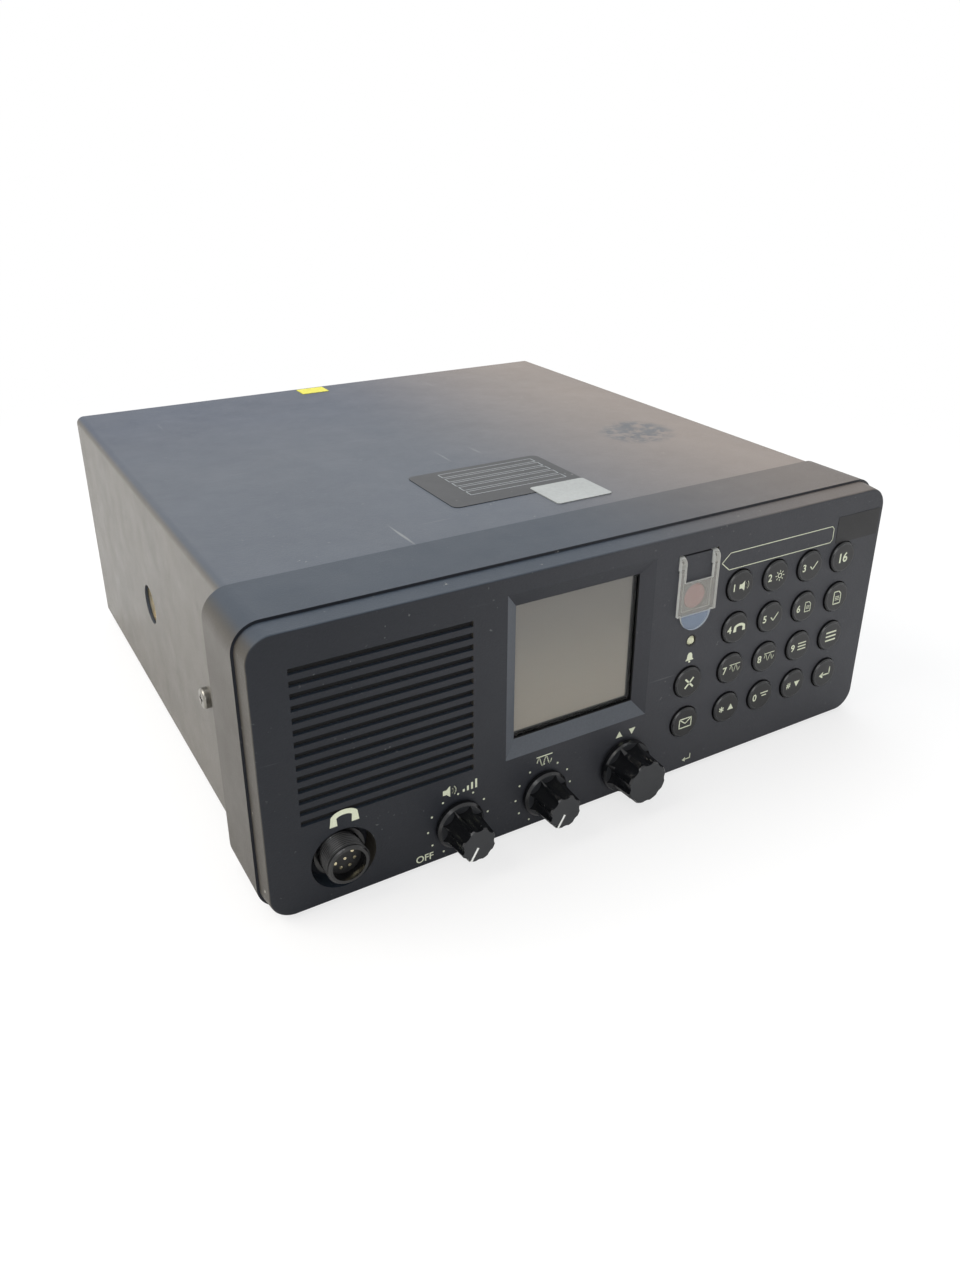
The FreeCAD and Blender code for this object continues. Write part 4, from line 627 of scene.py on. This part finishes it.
def pictogram_sheet(marks, x, z, size):
    """A sheet's outline with one corner cut off, and bars on it."""
    outline = [(-0.3, -0.42), (0.3, -0.42), (0.3, 0.2), (0.1, 0.42), (-0.3, 0.42)]
    marks.path(placed(outline, x, z, size), size * STROKE, closed=True)
    pictogram_bars(marks, x, z - size * 0.05, size * 0.4)


def pictogram_return(marks, x, z, size):
    """A stroke down and to the left, ending in a filled triangle."""
    marks.path(placed([(0.4, 0.35), (0.4, -0.1), (-0.2, -0.1)], x, z, size), size * 0.1)
    marks.shape(placed([(-0.5, -0.1), (-0.15, 0.14), (-0.15, -0.34)], x, z, size))


def pictogram_cross(marks, x, z, size):
    """Two strokes across each other."""
    for side in (-0.32, 0.32):
        marks.line(*placed([(-side, -0.32), (side, 0.32)], x, z, size), size * 0.12)


def pictogram_letter(marks, x, z, size):
    """An envelope: a rectangle and its flap."""
    outline = [(-0.45, -0.3), (0.45, -0.3), (0.45, 0.3), (-0.45, 0.3)]
    marks.path(placed(outline, x, z, size), size * STROKE, closed=True)
    marks.path(placed([(-0.45, 0.3), (0.0, -0.05), (0.45, 0.3)], x, z, size), size * STROKE)


def pictogram_tick(marks, x, z, size):
    """A short stroke down and a longer one up."""
    marks.path(placed([(-0.35, 0.0), (-0.1, -0.28), (0.38, 0.3)], x, z, size), size * 0.1)


def pictogram_wedge(marks, x, z, size, way):
    """A filled triangle that points up where way is 1 and down where it is -1."""
    marks.shape(placed([(-0.35, -0.26 * way), (0.35, -0.26 * way), (0.0, 0.34 * way)], x, z, size))


def pictogram_bell(marks, x, z, size):
    """A bell's outline and its clapper."""
    body = [(-0.42, -0.3), (0.42, -0.3), (0.28, -0.12), (0.24, 0.2),
            (0.12, 0.38), (-0.12, 0.38), (-0.24, 0.2), (-0.28, -0.12)]
    marks.shape(placed(body, x, z, size))
    marks.dot(x, z - size * 0.42, size * 0.1, 12)


def pictogram_handset(marks, x, z, size):
    """A telephone handset lying level: two arcs of ellipses for its grip, and a pad at each end."""
    turn = np.linspace(math.radians(25), math.radians(155), 13)
    outer = np.column_stack([0.62 * np.cos(turn), 0.40 * np.sin(turn) - 0.02])
    inner = np.column_stack([0.36 * np.cos(turn), 0.17 * np.sin(turn) - 0.02])[::-1]
    outline = [(0.62, -0.30), *outer, (-0.62, -0.30), (-0.30, -0.30), *inner, (0.30, -0.30)]
    marks.shape(placed(outline, x, z, size))


def pictogram_waves(marks, x, z, size):
    """A level line over two waves of a sine, for noise that is cut off."""
    step = np.linspace(-0.5, 0.5, 25)
    wave = np.column_stack([step, 0.28 * np.sin(step * 4 * math.pi)])
    marks.path(placed(wave, x, z, size), size * STROKE)
    marks.line(*placed([(-0.55, 0.36), (0.55, 0.36)], x, z, size), size * STROKE)


# Legends printed on the panel

def dial_dots(marks, x):
    """Eleven dots round a knob, 30 degrees apart, from its lowest end on."""
    for step in range(11):
        turn = math.radians(DIAL_START - 30.0 * step)
        marks.dot(x + DIAL_RADIUS * math.cos(turn), DIAL_Z + DIAL_RADIUS * math.sin(turn), 0.42, 14)


def rising_bars(marks, x, z, count):
    """Upright bars that grow to the right, for how loud it is."""
    for step in range(count):
        across = x + 1.7 * step
        marks.line((across, z), (across, z + 1.1 + 0.9 * step), 0.8)


def label_frame(marks):
    """The empty frame over the keys: its left end comes to a point and its right corners are cut off."""
    left, shoulder, right = 48.9, 52.9, 109.6
    low, high, cut = 88.4, 95.5, 1.2
    outline = [(left, 91.9), (shoulder, high), (right - cut, high), (right, high - cut), (right, low + cut),
               (right - cut, low), (shoulder, low)]
    marks.path(outline, 0.34, closed=True)


def panel_legends():
    """The dial dots, OFF, the empty frame, and a plain sign for each control."""
    marks = Marks()
    dial_dots(marks, VOLUME_X)
    dial_dots(marks, SQUELCH_X)
    marks.text("OFF", -81.1, 5.2, 2.9, 0.012)
    pictogram_handset(marks, -110.6, 34.6, 8.6)
    pictogram_horn(marks, -70.6, 30.2, 5.6)
    rising_bars(marks, -65.0, 28.1, 4)
    pictogram_waves(marks, -30.6, 29.3, 6.4)
    pictogram_wedge(marks, 4.2, 29.2, 4.6, 1)
    pictogram_wedge(marks, 10.4, 29.2, 4.6, -1)
    pictogram_return(marks, 40.6, 6.0, 4.6)
    pictogram_bell(marks, 36.9, 54.6, 5.0)
    label_frame(marks)
    marks.build("panel_legends", INK, "housing", "legend_cream")


panel_legends()


# Legends on the keys, each on its own key

FIGURE_HEIGHT, FIGURE_BOLD = 3.2, 0.018


def pad_place(column, row):
    """The middle of a key of the pad, counted from its lower left key."""
    return PAD_X + COLUMN * column, PAD_LOW + ROW * row


def key_places():
    """The middle of every key: 1 to 9, star, 0 and hash in the pad, and the columns at its two sides."""
    places = {}
    for number in range(1, 10):
        places[f"key_{number}"] = pad_place((number - 1) % 3, 3 - (number - 1) // 3)
    for column, label in enumerate(("key_star", "key_0", "key_hash")):
        places[label] = pad_place(column, 0)
    for row, label in enumerate(("enter_key", "menu_key", "file_key", "home_key")):
        places[label] = pad_place(3, row)
    places["call_key"] = (SIDE_X, PAD_LOW)
    places["cancel_key"] = (SIDE_X, PAD_LOW + ROW)
    return places


def key_legends():
    """A figure at the left of each number key and a plain sign at its right; one sign on each other key."""
    beside_figure = {
        "key_1": pictogram_horn, "key_2": pictogram_sun, "key_3": pictogram_tick,
        "key_4": pictogram_handset, "key_5": pictogram_tick, "key_6": pictogram_sheet,
        "key_7": pictogram_waves, "key_8": pictogram_waves, "key_9": pictogram_bars,
    }
    alone = {
        "file_key": (pictogram_sheet, 6.8), "menu_key": (pictogram_bars, 6.8),
        "enter_key": (pictogram_return, 6.8), "cancel_key": (pictogram_cross, 6.6),
        "call_key": (pictogram_letter, 6.8),
    }
    for label, (x, z) in key_places().items():
        marks = Marks()
        if label in beside_figure:
            marks.text(label[-1], x - 3.7, z, FIGURE_HEIGHT, FIGURE_BOLD)
            beside_figure[label](marks, x + 1.6, z, 5.2)
        elif label in alone:
            sign, size = alone[label]
            sign(marks, x, z, size)
        elif label == "home_key":
            marks.text("16", x, z, 4.2, 0.022)
        elif label == "key_0":
            marks.text("0", x - 3.6, z, FIGURE_HEIGHT, FIGURE_BOLD)
            pictogram_bars(marks, x + 1.7, z, 4.8, (1.0, 0.6))
        else:
            star = label == "key_star"
            marks.text("*" if star else "#", x - 3.0, z, 2.8, FIGURE_BOLD)
            pictogram_wedge(marks, x + 1.9, z, 4.6, 1 if star else -1)
        marks.build(f"legend_{label}", KEY_PROUD + INK, f"{label}_cap", "legend_cream")


key_legends()


# Small trim: contacts in the handset socket, ribs round its barrel and a dark ring round the lamp

def contacts():
    """One contact in the middle of the socket and seven evenly round it, from the top on."""
    marks = Marks()
    marks.dot(SOCKET_X, SOCKET_Z, 0.55, 14)
    ring = 3.6
    for step in range(7):
        turn = math.pi / 2.0 + step * 2.0 * math.pi / 7.0
        marks.dot(SOCKET_X + ring * math.cos(turn), SOCKET_Z + ring * math.sin(turn), 0.6, 14)
    marks.build("handset_contacts", 0.54, "housing", "contact_gold")


def barrel_ribs():
    """A closed sleeve: a cosine wave outside and a straight line inside, both turned round the barrel."""
    back, front = -4.0, 3.6
    rib_pitch, rib_depth = 0.95, 0.2
    middle_radius, inner_radius = 7.72, 7.4
    sides = 64
    along = np.linspace(back, front, 77)
    wave = middle_radius + rib_depth * np.cos(2.0 * np.pi * (along - back) / rib_pitch)
    inner_line = [(inner_radius, front), (inner_radius, back)]
    profile = np.concatenate([np.column_stack([wave, along]), inner_line])
    radius, height = profile[:, :1], profile[:, 1:]
    turn = np.linspace(0.0, 2.0 * np.pi, sides, endpoint=False)
    points = np.stack([SOCKET_X + radius * np.cos(turn), np.tile(FACE_Y - height, (1, sides)),
                       SOCKET_Z + radius * np.sin(turn)], axis=-1).reshape(-1, 3)
    rows, columns = np.meshgrid(np.arange(len(profile)), np.arange(sides), indexing="ij")
    start, start_after = rows * sides, (rows + 1) % len(profile) * sides
    after = (columns + 1) % sides
    faces = np.stack([start + columns, start_after + columns, start_after + after, start + after], axis=-1)
    finished("barrel_ribs", points * MM, faces.reshape(-1, 4).tolist(), "housing", "socket_black",
             smooth=True)


def lamp_ring():
    """A flat dark ring round the alarm lamp."""
    marks = Marks()
    marks.ring(SIDE_X, LAMP_Z, 2.7, 0.6, 32)
    marks.build("lamp_ring", INK, "housing", "label_black")


def pointer_line(name, x):
    """A thin white bar from the middle of a knob's front to its edge and on down its side.

    A profile of reach and depth is carried half a width to each side of the line to the first dot."""
    turn = math.radians(DIAL_START)
    along = np.array([math.cos(turn), math.sin(turn)])
    half_width = 0.45
    side = np.array([-along[1], along[0]]) * half_width
    front = -KNOB_FRONT - INK
    profile = np.array([(0.9, front), (6.40, front), (6.97, -KNOB_FRONT + 0.50), (7.48, -KNOB_FRONT + 9.0)])
    reach, depth = profile[:, 0], profile[:, 1:]
    spots = np.array([x, DIAL_Z]) + along * reach[:, None, None] + side * np.array([[-1.0], [1.0]])
    points = np.empty((len(profile), 2, 3))
    points[..., 0], points[..., 1], points[..., 2] = spots[..., 0], FACE_Y + depth, spots[..., 1]
    points = points.reshape(-1, 3) * MM
    faces = [(first, first + 1, first + 3, first + 2) for first in range(0, 2 * len(profile) - 2, 2)]
    outward = (along[0], -1.0, along[1])
    finished(f"{name}_pointer", points, turned_to(points, faces, outward), f"{name}_control",
             "pointer_white")


contacts()
barrel_ribs()
lamp_ring()
pointer_line("volume", VOLUME_X)
pointer_line("squelch", SQUELCH_X)


# Bare labels and scraps stuck on the radio

def slab(name, low, high, radius, thickness, surface, finish):
    """A thin sheet with rounded corners: two equal outlines, the upper one a thickness over the surface.

    Each corner is a quarter circle about a point one radius in from the sheet's two sides."""
    (x0, y0), (x1, y1) = low, high
    turn = np.linspace(0.0, np.pi / 2.0, 6)
    outline = []
    for x, y, quarter in ((x1 - radius, y1 - radius, 0), (x0 + radius, y1 - radius, 1),
                          (x0 + radius, y0 + radius, 2), (x1 - radius, y0 + radius, 3)):
        angle = turn + quarter * np.pi / 2.0
        outline.append(np.column_stack([x + radius * np.cos(angle), y + radius * np.sin(angle)]))
    outline = np.concatenate(outline)
    count = len(outline)
    points = np.concatenate([surface(outline, 0.0), surface(outline, thickness)]) * MM
    faces = [tuple(range(count))[::-1], tuple(range(count, 2 * count))]
    faces += [(step, (step + 1) % count, (step + 1) % count + count, step + count) for step in range(count)]
    finished(name, points, faces, "housing", finish)


def type_plate_boxes(plate_thickness):
    """Five empty boxes, one behind another, printed on the type plate."""
    lines = Marks()
    left, right, tall = -20, 26, 4.2
    for near in (73, 79, 85, 91, 97):
        far = near + tall
        lines.path([(left, near), (right, near), (right, far), (left, far)], 0.35, closed=True)
    lines.build("type_plate_boxes", plate_thickness + 0.04, "housing", "label_lines",
                surface=on_top, outward=(0, 0, 1))


def labels():
    """A label on the face, and a type plate, a silver label and a scrap of tape on the top."""
    plate_thickness = 0.25
    slab("face_label", (111.7, 87.1), (136.4, 98.8), 0.5, 0.12, on_face, "label_black")
    slab("type_plate", (-33, 63), (31, 105), 3.0, plate_thickness, on_top, "label_dark")
    slab("silver_label", (4.5, 47), (31, 68.5), 1.5, 0.40, on_top, "label_silver")
    slab("tape_scrap", (-19, 258), (-4, 268.5), 0.6, 0.2, on_top, "tape_yellow")
    type_plate_boxes(plate_thickness)


labels()


# Stage: floor, light and camera

WHITE = (1.0, 1.0, 1.0, 1.0)
MIDDLE = (0.0, 0.0, 0.05)


def floor():
    """A pale floor that the camera sees as white at a distance, and with the radio's shadow close by."""
    half = 6.0
    mesh = bpy.data.meshes.new("floor")
    mesh.from_pydata([(-half, -half, 0), (half, -half, 0), (half, half, 0), (-half, half, 0)], [],
                     [(0, 1, 2, 3)])
    made, graph, shader = material("floor_white")
    graph.fill(shader, {"Base Color": (0.9, 0.9, 0.9, 1.0), "Roughness": 0.9, "Specular IOR Level": 0.1})
    glow = graph.add("ShaderNodeEmission", {"Color": WHITE, "Strength": 1.0})
    far = graph.add("ShaderNodeVectorMath", {0: graph.place()}, operation="LENGTH").outputs["Value"]
    white = graph.band(far, 0.2, 0.62, 0.72, 1.0)
    seen = graph.math("MULTIPLY", graph.add("ShaderNodeLightPath", {}).outputs["Is Camera Ray"], white)
    both = graph.add("ShaderNodeMixShader", {0: seen, 1: shader.outputs[0], 2: glow.outputs[0]})
    graph.fill(graph.tree.nodes["Material Output"], {"Surface": both.outputs[0]})
    mesh.materials.append(made)
    item = bpy.data.objects.new("floor", mesh)
    bpy.context.scene.collection.objects.link(item)


def area_light(name, place, target, size, power, colour):
    """A square lamp at a place, turned so that its -Z looks at its target."""
    data = bpy.data.lights.new(name, "AREA")
    data.shape, data.size, data.energy, data.color = "SQUARE", size, power, colour
    item = bpy.data.objects.new(name, data)
    item.location = place
    item.rotation_mode = "QUATERNION"
    item.rotation_quaternion = (Vector(target) - Vector(place)).to_track_quat("-Z", "Y")
    bpy.context.scene.collection.objects.link(item)


def world_light():
    """A white surround: dimmer as a light, and full white where the camera, gloss or glass sees it."""
    world = bpy.data.worlds.new("studio")
    world.use_nodes = True
    graph = Graph(world.node_tree)
    path = graph.add("ShaderNodeLightPath", {}).outputs
    through = graph.math("MAXIMUM", path["Is Glossy Ray"], path["Is Transmission Ray"])
    seen = graph.math("MAXIMUM", path["Is Camera Ray"], through)
    ambient = 0.55
    strength = graph.math("MULTIPLY_ADD", seen, 1.0 - ambient, ambient)
    graph.fill(world.node_tree.nodes["Background"], {"Color": WHITE, "Strength": strength})
    bpy.context.scene.world = world


def camera():
    """The photograph's viewpoint: its place and three axes, and its focal length and centre in pixels."""
    right = Vector((0.85714453, -0.51501151, 0.00814878))
    down = Vector((-0.20963367, -0.36326137, -0.90779673))
    forward = Vector((0.4704859, 0.77640474, -0.41933125))
    place = (-0.21067, -0.26109 + FACE_Y * MM, 0.24732)
    frame_width, frame_height = 960.0, 1280.0
    focal_length = 1018.4
    centre_x, centre_y = 495.63, 585.03
    data = bpy.data.cameras.new("camera")
    data.sensor_width = 36.0
    data.lens = focal_length * data.sensor_width / frame_height
    data.shift_x = (frame_width / 2.0 - centre_x) / frame_height
    data.shift_y = (centre_y - frame_height / 2.0) / frame_height
    data.clip_start = 0.01
    item = bpy.data.objects.new("camera", data)
    turn = Matrix((right, -down, -forward)).transposed()
    item.matrix_world = Matrix.Translation(place) @ turn.to_4x4()
    bpy.context.scene.collection.objects.link(item)
    bpy.context.scene.camera = item


floor()
world_light()
area_light("window", (-0.9, 0.2, 1.0), MIDDLE, 0.9, 14.0, (1.0, 0.96, 0.9))
area_light("ceiling", (0.3, 0.5, 1.4), MIDDLE, 1.2, 12.0, (0.92, 0.96, 1.0))
area_light("front_fill", (-0.5, -1.4, 0.8), (0.0, -0.1, 0.05), 0.8, 5.0, (1.0, 1.0, 1.0))
camera()
bpy.context.scene.view_settings.view_transform = "Standard"
